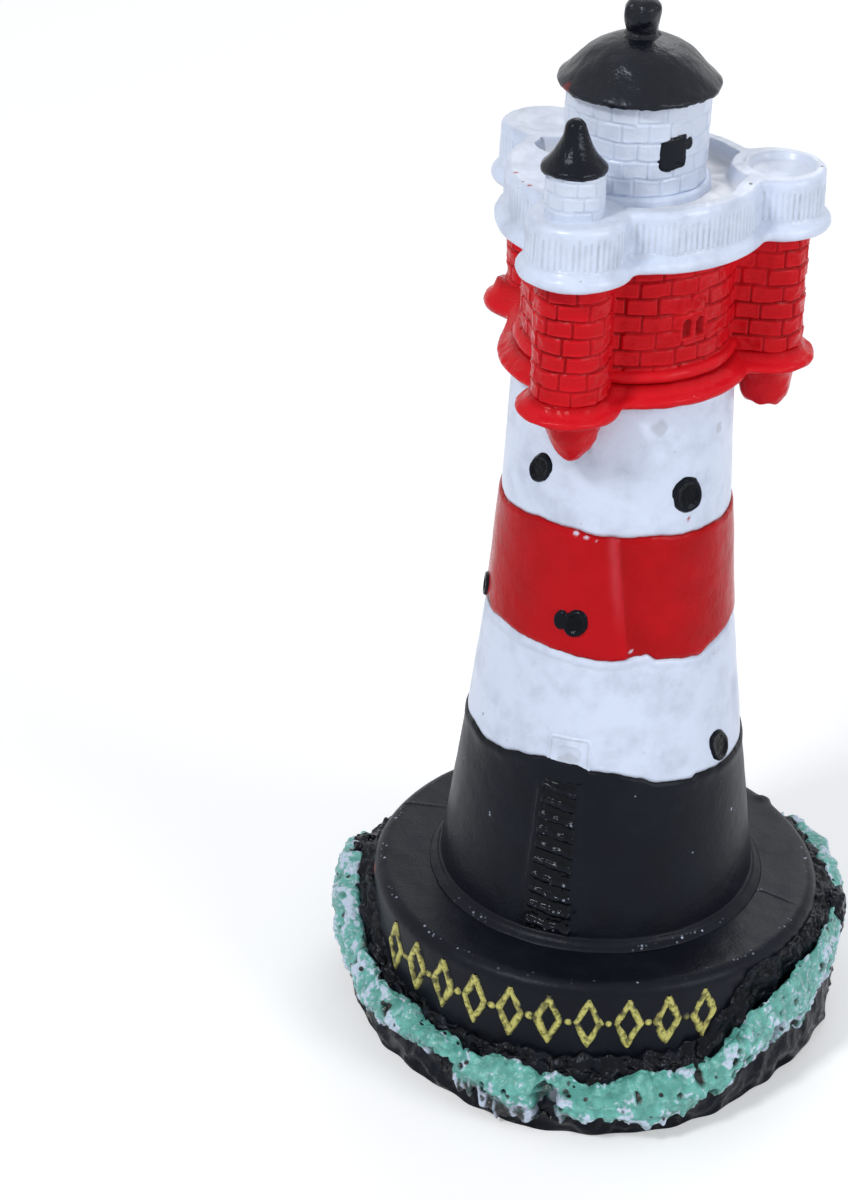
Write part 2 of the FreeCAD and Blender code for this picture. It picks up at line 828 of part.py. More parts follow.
def build_shaft():
    bands = {
        "lower": SimpleNamespace(
            name="lower_white_band",
            foot=lower_foot_radius,
            top=lower_top_radius,
            height=S.lower_height,
            level=base_top,
            sockets=[build_door()],
        ),
        "red": SimpleNamespace(
            name="red_band",
            foot=red_foot_radius,
            top=red_top_radius,
            height=S.red_height,
            level=lower_top,
            sockets=[],
        ),
        "upper": SimpleNamespace(
            name="upper_white_band",
            foot=upper_foot_radius,
            top=upper_top_radius,
            height=S.upper_height,
            level=red_top,
            sockets=[],
        ),
    }
    for number, (band_name, angle, height_share) in enumerate(PORTHOLES, start=1):
        band = bands[band_name]
        band.sockets.append(build_porthole(f"porthole_{number}", band, angle, height_share))
    for band in bands.values():
        form = band_form(band.name + "_form", band.foot, band.top, band.height, band.level)
        keep(band.name, cut(band.name + "_cut", form, band.sockets))
    base = band_form(
        "tower_base_form", S.base_foot_radius, base_top_radius, S.base_height, drum_top
    )
    keep("tower_base", base)
    ring_top = base_radius_at(S.foot_ring_height)
    ring = turned(
        "foot_ring_form",
        [
            (S.base_foot_radius, ZERO),
            (S.base_foot_radius + S.foot_ring_reach, ZERO),
            (ring_top, S.foot_ring_height, S.foot_ring_swell),
        ],
    )
    keep("foot_ring", stand(ring, drum_top))


def strip(name, foot, top, inner, outer, angle, turn, swell=None):
    """A slice of skin on the tower base, from foot to top above the drum, between two reliefs."""
    points = [
        (base_radius_at(foot) + inner, foot),
        (base_radius_at(foot) + outer, foot),
        (base_radius_at(top) + outer, top),
        (base_radius_at(top) + inner, top),
    ]
    if swell is not None:
        points[2] = points[2] + (swell,)
    return stand(turned(name, points, angle), drum_top, turn - QUARTER_TURN)


def build_ladder():
    """A raised panel on the tower base, with two stiles and a flight of rungs on it."""
    foot = S.foot_ring_height
    top = foot + S.ladder_length
    middle = SIZES["ladder_angle"]
    panel_face = S.ladder_panel_relief
    panel = strip(
        "panel_form", foot, top, S.ladder_bond, panel_face, S.ladder_panel_angle, middle
    )
    keep("ladder_panel", panel)
    rail_face = panel_face + S.ladder_rail_relief
    offset = (SIZES["rung_angle"] + SIZES["ladder_rail_angle"]) / 2
    rails = [
        strip(
            f"rail_{side}_form",
            foot,
            top,
            panel_face,
            rail_face,
            S.ladder_rail_angle,
            middle + turn,
        )
        for side, turn in (("left", -offset), ("right", offset))
    ]
    keep("ladder_rails", combined("Part::Compound", "rails", rails))
    rungs = []
    spare = S.ladder_length - S.rung_pitch * (S.rung_count - 1)
    for number in range(SIZES["rung_count"]):
        low = foot + spare / 2 + S.rung_pitch * number - S.rung_height / 2
        face = panel_face + S.rung_relief
        rungs.append(
            strip(
                f"rung_{number + 1}_form",
                low,
                low + S.rung_height,
                panel_face,
                face,
                S.rung_angle,
                middle,
                S.rung_swell,
            )
        )
    keep("ladder_rungs", combined("Part::Compound", "rungs", rungs))


# Brick storey with its oriels, ledge and corbels


def moulding(name, foot, widest, neck, height, edge, swell, hollow=None):
    """A round slab whose edge swells out to its widest and slopes back in to a neck."""
    points = [
        (ZERO, ZERO),
        (foot, ZERO),
        (widest, edge / 2, swell),
        ((foot + widest) / 2, edge, swell),
        (neck, height) if hollow is None else (neck, height, -hollow),
        (ZERO, height),
    ]
    return turned(name, points)


def around_oriels(make):
    """Makes one item for each oriel and stands it on the oriel's axis."""
    items = []
    for name, angle in zip(ORIEL_NAMES, ORIEL_ANGLES):
        item, level = make(name)
        items.append(stand(item, level, angle, oriel_distance))
    return items


def build_ledge():
    """The ledge under the bricks: one slab with a bell-shaped skirt below each oriel."""
    slab = moulding(
        "ledge_form",
        ledge_radius - S.ledge_foot_inset,
        ledge_radius,
        ledge_radius - S.ledge_neck_inset,
        S.ledge_height,
        S.ledge_edge,
        S.ledge_swell,
    )
    stand(slab, upper_top)
    skirts = around_oriels(
        lambda name: (
            moulding(
                f"skirt_{name}_form",
                skirt_radius - S.skirt_foot_inset,
                skirt_radius,
                skirt_radius - S.skirt_neck_inset,
                S.ledge_height,
                S.skirt_edge,
                S.skirt_swell,
                S.skirt_hollow,
            ),
            upper_top,
        )
    )
    keep("ledge", combined("Part::MultiFuse", "ledge_fuse", [slab] + skirts))


def build_corbels():
    """A pointed corbel hangs under the front oriel, and a blunt one under each of the others."""
    tower = band_form(
        "corbel_seat", upper_foot_radius, upper_top_radius, S.upper_height, red_top
    )

    def corbel(name):
        drop = S.corbel_point_drop if name == "front" else S.corbel_stub_drop
        waist = (S.corbel_waist_radius, S.corbel_waist_height, S.corbel_waist_swell)
        points = [(ZERO, ZERO), waist]
        if name != "front":
            points = [(ZERO, ZERO), (S.corbel_waist_radius, ZERO)]
        points += [(S.oriel_radius - S.corbel_inset, drop, S.corbel_swell), (ZERO, drop)]
        return turned(f"corbel_{name}_form", points), upper_top - drop

    for name, form in zip(ORIEL_NAMES, around_oriels(corbel)):
        keep(f"corbel_{name}", cut(f"corbel_{name}_cut", form, [tower]))


def build_storey_window():
    """A small window of two round-headed lights in a raised frame."""
    outline = box_outline(S.storey_window_width, S.storey_window_height)
    frame, socket = plug(
        "storey_window_form", outline, S.storey_window_depth, S.storey_window_relief
    )
    middle = (S.light_width + S.light_gap) / 2
    lights = []
    for centre in (-middle, middle):
        half_wide = S.light_width / 2
        half_tall = S.light_height / 2
        rise = half_wide * CORNER_SHARE
        lights.append(
            [
                (centre - half_wide, -half_tall),
                (centre + half_wide, -half_tall),
                (centre + half_wide, half_tall - half_wide),
                (centre, half_tall, rise),
                (centre - half_wide, half_tall - half_wide, rise),
            ]
        )
    face = S.storey_window_depth + S.storey_window_relief
    sink(frame, "storey_lights", lights, face, S.light_sink)
    out = storey_radius - S.storey_window_depth
    for item in (frame, socket):
        stand(item, ledge_top + S.storey_window_rise, SIZES["storey_window_angle"], out)
    keep("storey_window", frame)
    return socket


def build_storey():
    storey = brick_outline(storey_radius, S.storey_height, S.course_height, S.joint_depth)
    core = stand(turned("storey_core_form", storey), ledge_top)
    keep("storey_core", cut("storey_core_cut", core, [build_storey_window()]))
    oriel = brick_outline(S.oriel_radius, S.storey_height, S.course_height, S.joint_depth)
    plain = [
        (ZERO, ZERO),
        (storey_radius, ZERO),
        (storey_radius, S.storey_height),
        (ZERO, S.storey_height),
    ]
    seat = stand(turned("oriel_seat", plain), ledge_top)
    forms = around_oriels(lambda name: (turned(f"oriel_{name}_form", oriel), ledge_top))
    for name, form in zip(ORIEL_NAMES, forms):
        keep(f"oriel_{name}", cut(f"oriel_{name}_cut", form, [seat]))
    swell = S.bead_reach / 2
    bead = turned(
        "bead_form",
        [
            (storey_radius, ZERO),
            (storey_radius + swell, ZERO),
            (storey_radius + swell, S.bead_height, swell),
            (storey_radius, S.bead_height),
        ],
    )
    stand(bead, ledge_top)
    keep("foot_bead", cut("bead_cut", bead, forms))


# Gallery with its parapets


def build_cornice():
    slab = moulding(
        "cornice_form",
        cornice_radius - S.cornice_foot_inset,
        cornice_radius,
        parapet_radius,
        S.cornice_height,
        S.cornice_edge,
        S.cornice_swell,
    )
    stand(slab, storey_top)
    lobes = around_oriels(
        lambda name: (
            moulding(
                f"cornice_{name}_form",
                cornice_oriel_radius - S.cornice_foot_inset,
                cornice_oriel_radius,
                oriel_parapet_radius,
                S.cornice_height,
                S.cornice_edge,
                S.cornice_swell,
            ),
            storey_top,
        )
    )
    keep("cornice", combined("Part::MultiFuse", "cornice_fuse", [slab] + lobes))


def build_gallery():
    """The deck, its three stretches of parapet, and a round parapet and floor on each oriel."""
    inner = parapet_radius - S.parapet_wall
    well = oriel_parapet_radius - S.oriel_parapet_wall
    disc = [
        (ZERO, ZERO),
        (oriel_parapet_radius, ZERO),
        (oriel_parapet_radius, S.parapet_height),
        (ZERO, S.parapet_height),
    ]
    rounds = around_oriels(lambda name: (turned(f"round_{name}_form", disc), cornice_top))
    deck = turned(
        "deck_form",
        [(ZERO, ZERO), (inner, ZERO), (inner, S.deck_height), (ZERO, S.deck_height)],
    )
    keep("deck", cut("deck_cut", stand(deck, cornice_top), rounds))
    wall = ring_outline(inner, parapet_radius, S.parapet_height)
    step = Size(ORIEL_STEP, f"({FULL_TURN:.9g} / {S.oriel_count.formula})")
    for name, angle in zip(PARAPET_NAMES, ORIEL_ANGLES):
        middle = angle + ORIEL_STEP / 2
        span = stand(turned(f"parapet_{name}_form", wall, step), cornice_top, middle - QUARTER_TURN)
        keep(f"parapet_{name}", cut(f"parapet_{name}_cut", span, rounds))
    wall = ring_outline(well, oriel_parapet_radius, S.parapet_height)
    for name, item in zip(
        ORIEL_NAMES,
        around_oriels(lambda name: (turned(f"oriel_wall_{name}_form", wall), cornice_top)),
    ):
        keep(f"oriel_parapet_{name}", item)

    def floor(name):
        if name != "right":
            top = S.front_floor_height if name == "front" else S.rear_floor_height
            points = [(ZERO, ZERO), (well, ZERO), (well, top), (ZERO, top)]
        else:
            low = S.bowl_rim_height - S.bowl_depth
            points = [
                (ZERO, ZERO),
                (well, ZERO),
                (well, S.bowl_rim_height),
                (S.bowl_flat_radius, low, -S.bowl_hollow),
                (ZERO, low),
            ]
        return turned(f"oriel_floor_{name}_form", points), cornice_top

    for name, item in zip(ORIEL_NAMES, around_oriels(floor)):
        keep(f"oriel_floor_{name}", item)


# Turret, lantern and roof


def build_turret():
    wall = brick_outline(
        S.turret_radius, S.turret_height, S.lantern_course_height, S.lantern_joint_depth
    )
    brim = S.turret_radius + S.cap_reach - S.cap_lip_swell
    cap = [
        (ZERO, ZERO),
        (brim, ZERO),
        (brim, S.cap_lip, S.cap_lip_swell),
        (S.cap_tip_radius, S.cap_height - S.cap_tip_height, -S.cap_hollow),
        (S.cap_flat_radius, S.cap_height, S.cap_tip_swell),
        (ZERO, S.cap_height),
    ]
    foot = cornice_top + S.front_floor_height
    places = (
        ("turret_wall", wall, foot, S.turret_shift),
        ("turret_cap", cap, foot + S.turret_height, S.cap_shift),
    )
    for name, outline, level, shift in places:
        item = stand(
            turned(name + "_form", outline),
            level,
            ORIEL_ANGLES[0],
            oriel_distance,
            across=-shift,
        )
        keep(name, item)


def build_lantern():
    rounding = S.plinth_rounding
    plinth_radius = lantern_radius + S.plinth_reach
    plinth = turned(
        "plinth_form",
        [
            (ZERO, ZERO),
            (plinth_radius, ZERO),
            (plinth_radius, S.plinth_height - rounding),
            (plinth_radius - rounding, S.plinth_height, rounding * CORNER_SHARE),
            (ZERO, S.plinth_height),
        ],
    )
    keep("lantern_plinth", stand(plinth, deck_top))
    outline = box_outline(
        S.lantern_window_width, S.lantern_window_height, S.lantern_window_corner
    )
    pane, socket = plug(
        "lantern_window_form", outline, S.lantern_window_depth, S.lantern_window_relief
    )
    dish = box_outline(
        S.lantern_window_width - S.lantern_window_rim * 2,
        S.lantern_window_height - S.lantern_window_rim * 2,
        S.lantern_window_corner - S.lantern_window_rim,
    )
    face = S.lantern_window_depth + S.lantern_window_relief
    sink(pane, "lantern_window_dish", [dish], face, S.lantern_window_sink)
    out = lantern_radius - S.lantern_window_depth
    for item in (pane, socket):
        level = plinth_top + S.lantern_window_rise
        stand(item, level, SIZES["lantern_window_angle"], out)
    keep("lantern_window", pane)
    wall = brick_outline(
        lantern_radius, S.lantern_height, S.lantern_course_height, S.lantern_joint_depth
    )
    form = stand(turned("lantern_form", wall), plinth_top)
    keep("lantern_wall", cut("lantern_cut", form, [socket]))


def build_roof():
    brim = roof_radius - S.roof_lip_swell
    roof = turned(
        "roof_form",
        [
            (ZERO, ZERO),
            (brim, ZERO),
            (brim, S.roof_lip, S.roof_lip_swell),
            (roof_radius - S.roof_break_inset, S.roof_break_height, S.roof_swell),
            (S.neck_radius, S.roof_height, -S.roof_hollow),
            (ZERO, S.roof_height),
        ],
    )
    keep("roof", stand(roof, lantern_top))
    knob = turned(
        "finial_form",
        [
            (ZERO, ZERO),
            (S.neck_radius, ZERO),
            (S.knob_radius, S.knob_middle, S.knob_side_swell),
            (S.knob_flat_radius, S.knob_height, S.knob_swell),
            (ZERO, S.knob_height),
        ],
    )
    keep("finial", stand(knob, roof_top))


build_base()
build_marks()
build_shaft()
build_ladder()
build_ledge()
build_corbels()
build_storey()
build_cornice()
build_gallery()
build_turret()
build_lantern()
build_roof()
doc.recompute()

for item in doc.Objects:
    if "Invalid" in item.State or "Error" in item.State:
        raise RuntimeError(f"{item.Name} failed: {item.State}")
for name, item in PARTS.items():
    if item.Shape.isNull() or not item.Shape.isValid() or not item.Shape.Solids:
        raise RuntimeError(f"{name} has no valid solid")

os.makedirs("parts", exist_ok=True)
for name, item in PARTS.items():
    item.Shape.exportStep(f"parts/{name}.step")
    print(name, len(item.Shape.Solids), round(item.Shape.Volume, 2))
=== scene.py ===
import bisect
import bmesh
import bpy
import math
from functools import partial
from mathutils import Matrix, Vector, noise
from mathutils.bvhtree import BVHTree


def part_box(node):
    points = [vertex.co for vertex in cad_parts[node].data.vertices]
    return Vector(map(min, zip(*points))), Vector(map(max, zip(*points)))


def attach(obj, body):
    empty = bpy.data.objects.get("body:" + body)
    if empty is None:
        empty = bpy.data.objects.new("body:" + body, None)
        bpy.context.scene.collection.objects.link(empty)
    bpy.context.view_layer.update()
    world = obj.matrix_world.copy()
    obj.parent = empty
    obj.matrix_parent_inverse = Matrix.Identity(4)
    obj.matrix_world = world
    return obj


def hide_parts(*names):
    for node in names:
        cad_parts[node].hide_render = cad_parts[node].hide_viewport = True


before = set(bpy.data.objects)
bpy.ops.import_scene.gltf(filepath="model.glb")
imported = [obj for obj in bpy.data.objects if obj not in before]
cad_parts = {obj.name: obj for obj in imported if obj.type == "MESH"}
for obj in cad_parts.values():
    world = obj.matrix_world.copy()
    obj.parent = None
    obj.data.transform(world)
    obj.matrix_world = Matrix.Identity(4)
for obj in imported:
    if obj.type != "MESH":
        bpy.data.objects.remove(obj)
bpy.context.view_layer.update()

# Lengths below are in millimetres, and skin() turns them into the frame's metres. Only the floor,
# the lamps and the finishes are given in metres.
MM = 0.001
FULL_TURN = 2 * math.pi


# Small helps for uneven, hand-made shapes


def spot(turn, radius, height, axis=(0.0, 0.0)):
    """A point at an angle from the front, a distance from an upright axis and a height."""
    return Vector((axis[0] + radius * math.sin(turn), axis[1] - radius * math.cos(turn), height))


def ease(low, high, value):
    """Rises smoothly from 0 at low to 1 at high."""
    share = min(max((value - low) / (high - low), 0.0), 1.0)
    return share * share * (3 - 2 * share)


def lumps(point, size, seed=0.0):
    """A smooth uneven value, mostly between -0.7 and 0.7, that changes over about the size."""
    return noise.noise(point / size + Vector((seed, seed * 1.7, seed * 2.3)))


def grit(point, size, seed=0.0, octaves=3):
    """As lumps, with finer unevenness on top."""
    return noise.fractal(point / size + Vector((seed, seed * 1.7, seed * 2.3)), 0.9, 2.1, octaves)


def chance(first, second, seed=0.0):
    """A value from 0 to 1 that belongs to a pair of whole numbers."""
    return noise.cell(Vector((first * 3.7 + 0.5, second * 5.3 + 0.5, seed * 7.1 + 0.5))) * 0.5 + 0.5


def bell(off, width):
    """1 at 0, falling away evenly on both sides over about a width."""
    return math.exp(-((off / width) ** 2))


# Unevenness of the castings: how high each swell is and over what size, in millimetres, and a seed
UNEVEN = {
    "crust teeth": ((0.95, 1.5, 5.0), (0.85, 0.7, 6.0)),
    "drum": ((0.10, 9.0, 1.0), (0.05, 3.0, 2.0)),
    "shaft": ((0.10, 8.0, 3.0), (0.04, 2.5, 4.0)),
    "foot ring": ((0.12, 3.0, 8.0),),
    "ledge": ((0.15, 3.2, 90.0), (0.07, 1.2, 91.0)),
    "storey": ((0.16, 2.0, 121.0), (0.09, 0.9, 122.0)),
    "bead": ((0.14, 2.5, 141.0),),
    "cornice": ((0.15, 3.0, 150.0), (0.06, 1.1, 151.0)),
    "parapet": ((0.12, 3.2, 164.0), (0.05, 1.3, 165.0)),
    "rim": ((0.14, 3.5, 181.0), (0.06, 1.2, 182.0)),
    "plinth": ((0.16, 2.4, 201.0),),
    "cap edge": ((0.34, 2.2, 231.0), (0.10, 0.8, 233.0)),
    "cap": ((0.14, 2.0, 232.0),),
    "roof edge": ((0.30, 3.4, 241.0), (0.16, 1.2, 242.0)),
    "roof": ((0.24, 3.0, 244.0), (0.08, 1.1, 246.0)),
    "finial": ((0.28, 2.0, 251.0), (0.12, 0.9, 252.0)),
}


def uneven(part, here):
    """How far a part's surface swells out at a point."""
    return sum(height * lumps(here, size, seed) for height, size, seed in UNEVEN[part])


def degrees_between(first, second=0.0):
    """How far a first angle lies past a second one in degrees, from -180 to 180."""
    return (first - second + 180) % 360 - 180


def degrees_of(turn):
    """An angle from the front in degrees, from -180 to 180."""
    return degrees_between(math.degrees(turn))


def turn_between(first, second):
    """How far a first angle lies past a second one, from minus half a turn to half a turn."""
    return (first - second + math.pi) % FULL_TURN - math.pi


def window(degrees, low, high, soft):
    """1 between two angles and 0 beyond them, with soft ends."""
    return ease(low - soft, low + soft, degrees) * ease(high + soft, high - soft, degrees)


def between(listed, degrees):
    """Follows a list of (degrees, value) right round the tower without corners."""
    degrees = degrees_between(degrees)
    ring = [(listed[-1][0] - 360, listed[-1][1]), *listed, (listed[0][0] + 360, listed[0][1])]
    for (start, low), (end, high) in zip(ring, ring[1:]):
        if start <= degrees <= end:
            return low + (high - low) * ease(start, end, degrees)
    return ring[0][1]


def flow(points, step):
    """A smooth line through (across, up) points, cut about every step. A point given twice in a
    row is a corner."""
    line = []
    last = len(points) - 1
    for number in range(last):
        start, end = Vector(points[number]), Vector(points[number + 1])
        if start == end:
            continue
        before = Vector(points[max(number - 1, 0)])
        after = Vector(points[min(number + 2, last)])
        leave = (end - start) if before == start else (end - before) / 2
        arrive = (end - start) if after == end else (after - start) / 2
        count = max(1, round((end - start).length / step))
        for cut in range(count):
            share = cut / count
            square, cube = share**2, share**3
            line.append(
                start * (2 * cube - 3 * square + 1)
                + leave * (cube - 2 * square + share)
                + end * (3 * square - 2 * cube)
                + arrive * (cube - square)
            )
    line.append(Vector(points[-1]))
    return [tuple(point) for point in line]


def turns_round(count, close_to=(), reach=0.02, extra=4):
    """Angles evenly round the tower, with extra ones close to some places."""
    turns = {FULL_TURN * number / count for number in range(count)}
    for place in close_to:
        for number in range(-extra, extra + 1):
            turns.add((place + reach * number / extra) % FULL_TURN)
    return sorted(turns)


def gap_to(here, place):
    """How far a point lies from a place, seen from above."""
    return math.hypot(here.x - place[0], here.y - place[1])


def dab(here, place, size, seed=0.0):
    """1 inside a small uneven dab of paint round a place and 0 outside it."""
    off = (here - place).length + 0.35 * size * lumps(here, size * 0.8, seed)
    return 1 - ease(size * 0.6, size, off)


def add_dabs(values, here, dabs, seed):
    """Raises a point's mask values where it lies in one of the (mask, place, size) dabs."""
    for mask, place, size in dabs:
        if (here - place).length < 2 * size:
            values[mask] = max(values.get(mask, 0.0), dab(here, place, size, seed))


# Measuring the frame, in millimetres


def span(node):
    """Lowest and highest level of a CAD node."""
    low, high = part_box(node)
    return low.z / MM, high.z / MM


def middle(node):
    """The middle of a CAD node, seen from above."""
    low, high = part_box(node)
    return (low.x + high.x) / (2 * MM), (low.y + high.y) / (2 * MM)


def half_width(node):
    """Half of a CAD node's size from side to side."""
    low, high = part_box(node)
    return (high.x - low.x) / (2 * MM)


def turn_of(node):
    """The angle of a node's middle from the front, counted towards the right-hand side."""
    across, depth = middle(node)
    return math.atan2(across, -depth)


def reach_at(node, height):
    """How far a CAD node reaches from the tower's axis, close to a height."""
    near = [
        vertex.co.xy.length / MM
        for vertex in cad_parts[node].data.vertices
        if abs(vertex.co.z / MM - height) < 0.05
    ]
    return max(near)


def tree_of(node):
    """A CAD node's surface in metres, ready to be measured along a line."""
    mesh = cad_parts[node].data
    points = [vertex.co.copy() for vertex in mesh.vertices]
    return BVHTree.FromPolygons(points, [tuple(face.vertices) for face in mesh.polygons])


def outer_face(tree, turn, height, otherwise):
    """How far a surface reaches from the axis at an angle and a height, seen from outside."""
    way = spot(turn, 1.0, 0.0)
    start = way * (90 * MM) + Vector((0.0, 0.0, height * MM))
    found = tree.ray_cast(start, -way)[0]
    return otherwise if found is None else found.xy.length / MM


def edge_levels(node, places):
    """The lowest and the highest level of a CAD node in even directions round the tower."""
    levels = [[] for _ in range(places)]
    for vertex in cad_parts[node].data.vertices:
        turn = math.atan2(vertex.co.x, -vertex.co.y)
        levels[round(turn / FULL_TURN * places) % places].append(vertex.co.z / MM)
    for number, level in enumerate(levels):
        if not level:
            level.extend(levels[number - 1])
    return [min(level) for level in levels], [max(level) for level in levels]


def follow(listed, turn):
    """Follows a list of values that stand at even angles round the tower, without corners."""
    place = (turn / FULL_TURN * len(listed)) % len(listed)
    number = int(place)
    part = place - number
    before, start, end, after = [listed[(number + offset) % len(listed)] for offset in (-1, 0, 1, 2)]
    bend = 2 * before - 5 * start + 4 * end - after
    twist = 3 * (start - end) + after - before
    return start + part / 2 * (end - before + part * (bend + part * twist))


def along_line(outline, breaks, share):
    """The point at a share of a line of (radius, height) whose corners stand at given shares."""
    number = min(max(bisect.bisect_right(breaks, share) - 1, 0), len(outline) - 2)
    part = (share - breaks[number]) / (breaks[number + 1] - breaks[number])
    (start, low), (end, high) = outline[number], outline[number + 1]
    return start + (end - start) * part, low + (high - low) * part


# Meshes


def put_in_scene(name, data):
    """A new object that shows a mesh, a camera or a lamp."""
    item = bpy.data.objects.new(name, data)
    bpy.context.scene.collection.objects.link(item)
    return item


def closing(height, turns):
    """A row of points on the tower's axis, which closes a mesh in its middle."""
    return [Vector((0.0, 0.0, height))] * len(turns)


def note(masks, values):
    """Adds one point's values to the masks. A mask that isn't among them gets 0."""
    for name, amounts in masks.items():
        amounts.append(values.get(name, 0.0))


def skin(name, grid, masks=None, wrap=False, loop=False, wanted=None):
    """A smooth mesh over grid[row][column], given in millimetres. wrap joins the last column to the
    first, and loop the last row to the first. Faces are made only where wanted is true at one of
    their corners."""
    columns = len(grid[0])
    rows = len(grid)
    points = [point * MM for line in grid for point in line]
    faces = []
    for row in range(rows if loop else rows - 1):
        above = (row + 1) % rows
        for column in range(columns if wrap else columns - 1):
            beside = (column + 1) % columns
            corners = (
                row * columns + column,
                row * columns + beside,
                above * columns + beside,
                above * columns + column,
            )
            if wanted is None or any(wanted[corner] for corner in corners):
                faces.append(corners)
    mesh = bpy.data.meshes.new(name)
    mesh.from_pydata(points, [], faces)
    for mask, amounts in (masks or {}).items():
        layer = mesh.attributes.new(mask, "FLOAT", "POINT")
        layer.data.foreach_set("value", amounts)
    shaped = bmesh.new()
    shaped.from_mesh(mesh)
    bmesh.ops.remove_doubles(shaped, verts=shaped.verts, dist=0.001 * MM)
    loose = [vertex for vertex in shaped.verts if not vertex.link_faces]
    bmesh.ops.delete(shaped, geom=loose, context="VERTS")
    shaped.to_mesh(mesh)
    shaped.free()
    mesh.shade_smooth()
    return put_in_scene(name, mesh)


def turned(name, line, shape=None, axis=(0.0, 0.0), turns=None, loop=False, masks=()):
    """Turns a line of (radius, height) about an upright axis. shape may move each point and give
    its masks: it takes turn, radius and height and returns radius, height and the mask values."""
    turns = turns_round(160) if turns is None else turns
    grid = []
    amounts = {mask: [] for mask in masks}
    for radius, height in line:
        ring = []
        for turn in turns:
            new_radius, new_height, *values = (
                shape(turn, radius, height) if shape else (radius, height)
            )
            ring.append(spot(turn, new_radius, new_height, axis))
            for mask, value in zip(masks, values):
                amounts[mask].append(value)
        grid.append(ring)
    return skin(name, grid, amounts, wrap=True, loop=loop)


def patch(name, turn, level, wide, tall, wall, relief, step, masks=()):
    """A raised detail on a round wall. wall gives the wall's radius at a turn and a height, and
    relief takes the distance across and up from the middle and returns how far the detail stands
    out, and its mask values. What lies under the wall is left out."""
    radius = wall(turn, level)
    columns = max(2, round(wide / step))
    rows = max(2, round(tall / step))
    grid = []
    wanted = []
    amounts = {mask: [] for mask in masks}
    for row in range(rows + 1):
        up = tall * (row / rows - 0.5)
        line = []
        for column in range(columns + 1):
            across = wide * (column / columns - 0.5)
            here = turn + across / radius
            rise, *values = relief(across, up)
            line.append(spot(here, wall(here, level + up) + rise, level + up))
            wanted.append(rise > 0)
            for mask, value in zip(masks, values):
                amounts[mask].append(value)
        grid.append(line)
    return skin(name, grid, amounts, wanted=wanted)


def dress(piece, finish, slot, *nodes):
    """Gives a piece its finish and puts it in the place of the CAD nodes that it stands for."""
    piece.data.materials.append(finish)
    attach(piece, "root")
    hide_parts(*nodes)
    return piece


# Camera, at the photograph's viewing angle

CAMERA_PLACE = Vector((0.0, -372.44, 270.86)) * MM
CAMERA_YAW = math.radians(-3.9034)
CAMERA_PITCH = math.radians(29.1247)
CAMERA_ROLL = math.radians(1.3697)
CAMERA_LENS = 93.395

forward = Vector(
    (
        math.sin(CAMERA_YAW) * math.cos(CAMERA_PITCH),
        math.cos(CAMERA_YAW) * math.cos(CAMERA_PITCH),
        -math.sin(CAMERA_PITCH),
    )
)
level_right = Vector((math.cos(CAMERA_YAW), -math.sin(CAMERA_YAW), 0.0))
level_up = level_right.cross(forward)
right = math.cos(CAMERA_ROLL) * level_right + math.sin(CAMERA_ROLL) * level_up
up = math.cos(CAMERA_ROLL) * level_up - math.sin(CAMERA_ROLL) * level_right
camera = put_in_scene("camera", bpy.data.cameras.new("camera"))
camera.data.lens = CAMERA_LENS
camera.matrix_world = (
    Matrix.Translation(CAMERA_PLACE) @ Matrix((right, up, -forward)).transposed().to_4x4()
)
bpy.context.scene.camera = camera
bpy.context.scene.view_settings.view_transform = "Standard"


# Finishes


def put(tree, socket, value):
    """Gives a socket its plain value, or links it to the socket that feeds it."""
    if isinstance(value, bpy.types.NodeSocket):
        tree.links.new(value, socket)
    else:
        socket.default_value = value


def add(tree, kind, inputs=None, **settings):
    """Adds a node. An input may be a plain value or the socket that feeds it."""
    made = tree.nodes.new(kind)
    for name, value in settings.items():
        setattr(made, name, value)
    for name, value in (inputs or {}).items():
        put(tree, made.inputs[name], value)
    return made


def mix(tree, share, under, over):
    """Lays one colour over another by a share from 0 to 1."""
    made = add(tree, "ShaderNodeMix", data_type="RGBA")
    for number, value in ((0, share), (6, under), (7, over)):
        put(tree, made.inputs[number], value)
    return made.outputs[2]


def ramp(tree, value, low, high, start=0.0, end=1.0):
    """Turns a value between low and high into one between start and end."""
    made = add(
        tree,
        "ShaderNodeMapRange",
        {"Value": value, "From Min": low, "From Max": high, "To Min": start, "To Max": end},
        interpolation_type="SMOOTHSTEP",
    )
    return made.outputs["Result"]


def sums(tree, operation, first, second):
    """Works out one value from two."""
    made = add(tree, "ShaderNodeMath", {0: first, 1: second}, operation=operation)
    return made.outputs[0]


def new_group(name, takes, gives):
    """A shader group with named inputs, as (kind, name, default), and named outputs."""
    group = bpy.data.node_groups.new(name, "ShaderNodeTree")
    for kind, label, default in takes:
        socket = group.interface.new_socket(label, in_out="INPUT", socket_type="NodeSocket" + kind)
        socket.default_value = default
    for kind, label in gives:
        group.interface.new_socket(label, in_out="OUTPUT", socket_type="NodeSocket" + kind)
    return group, add(group, "NodeGroupInput").outputs, add(group, "NodeGroupOutput").inputs


def place_group(tree, group, **values):
    """Places a group in a material. Values are given by their input's name in small letters."""
    made = add(tree, "ShaderNodeGroup", node_tree=group)
    for name, value in values.items():
        put(tree, made.inputs[name.capitalize().replace("_", " ")], value)
    return made.outputs


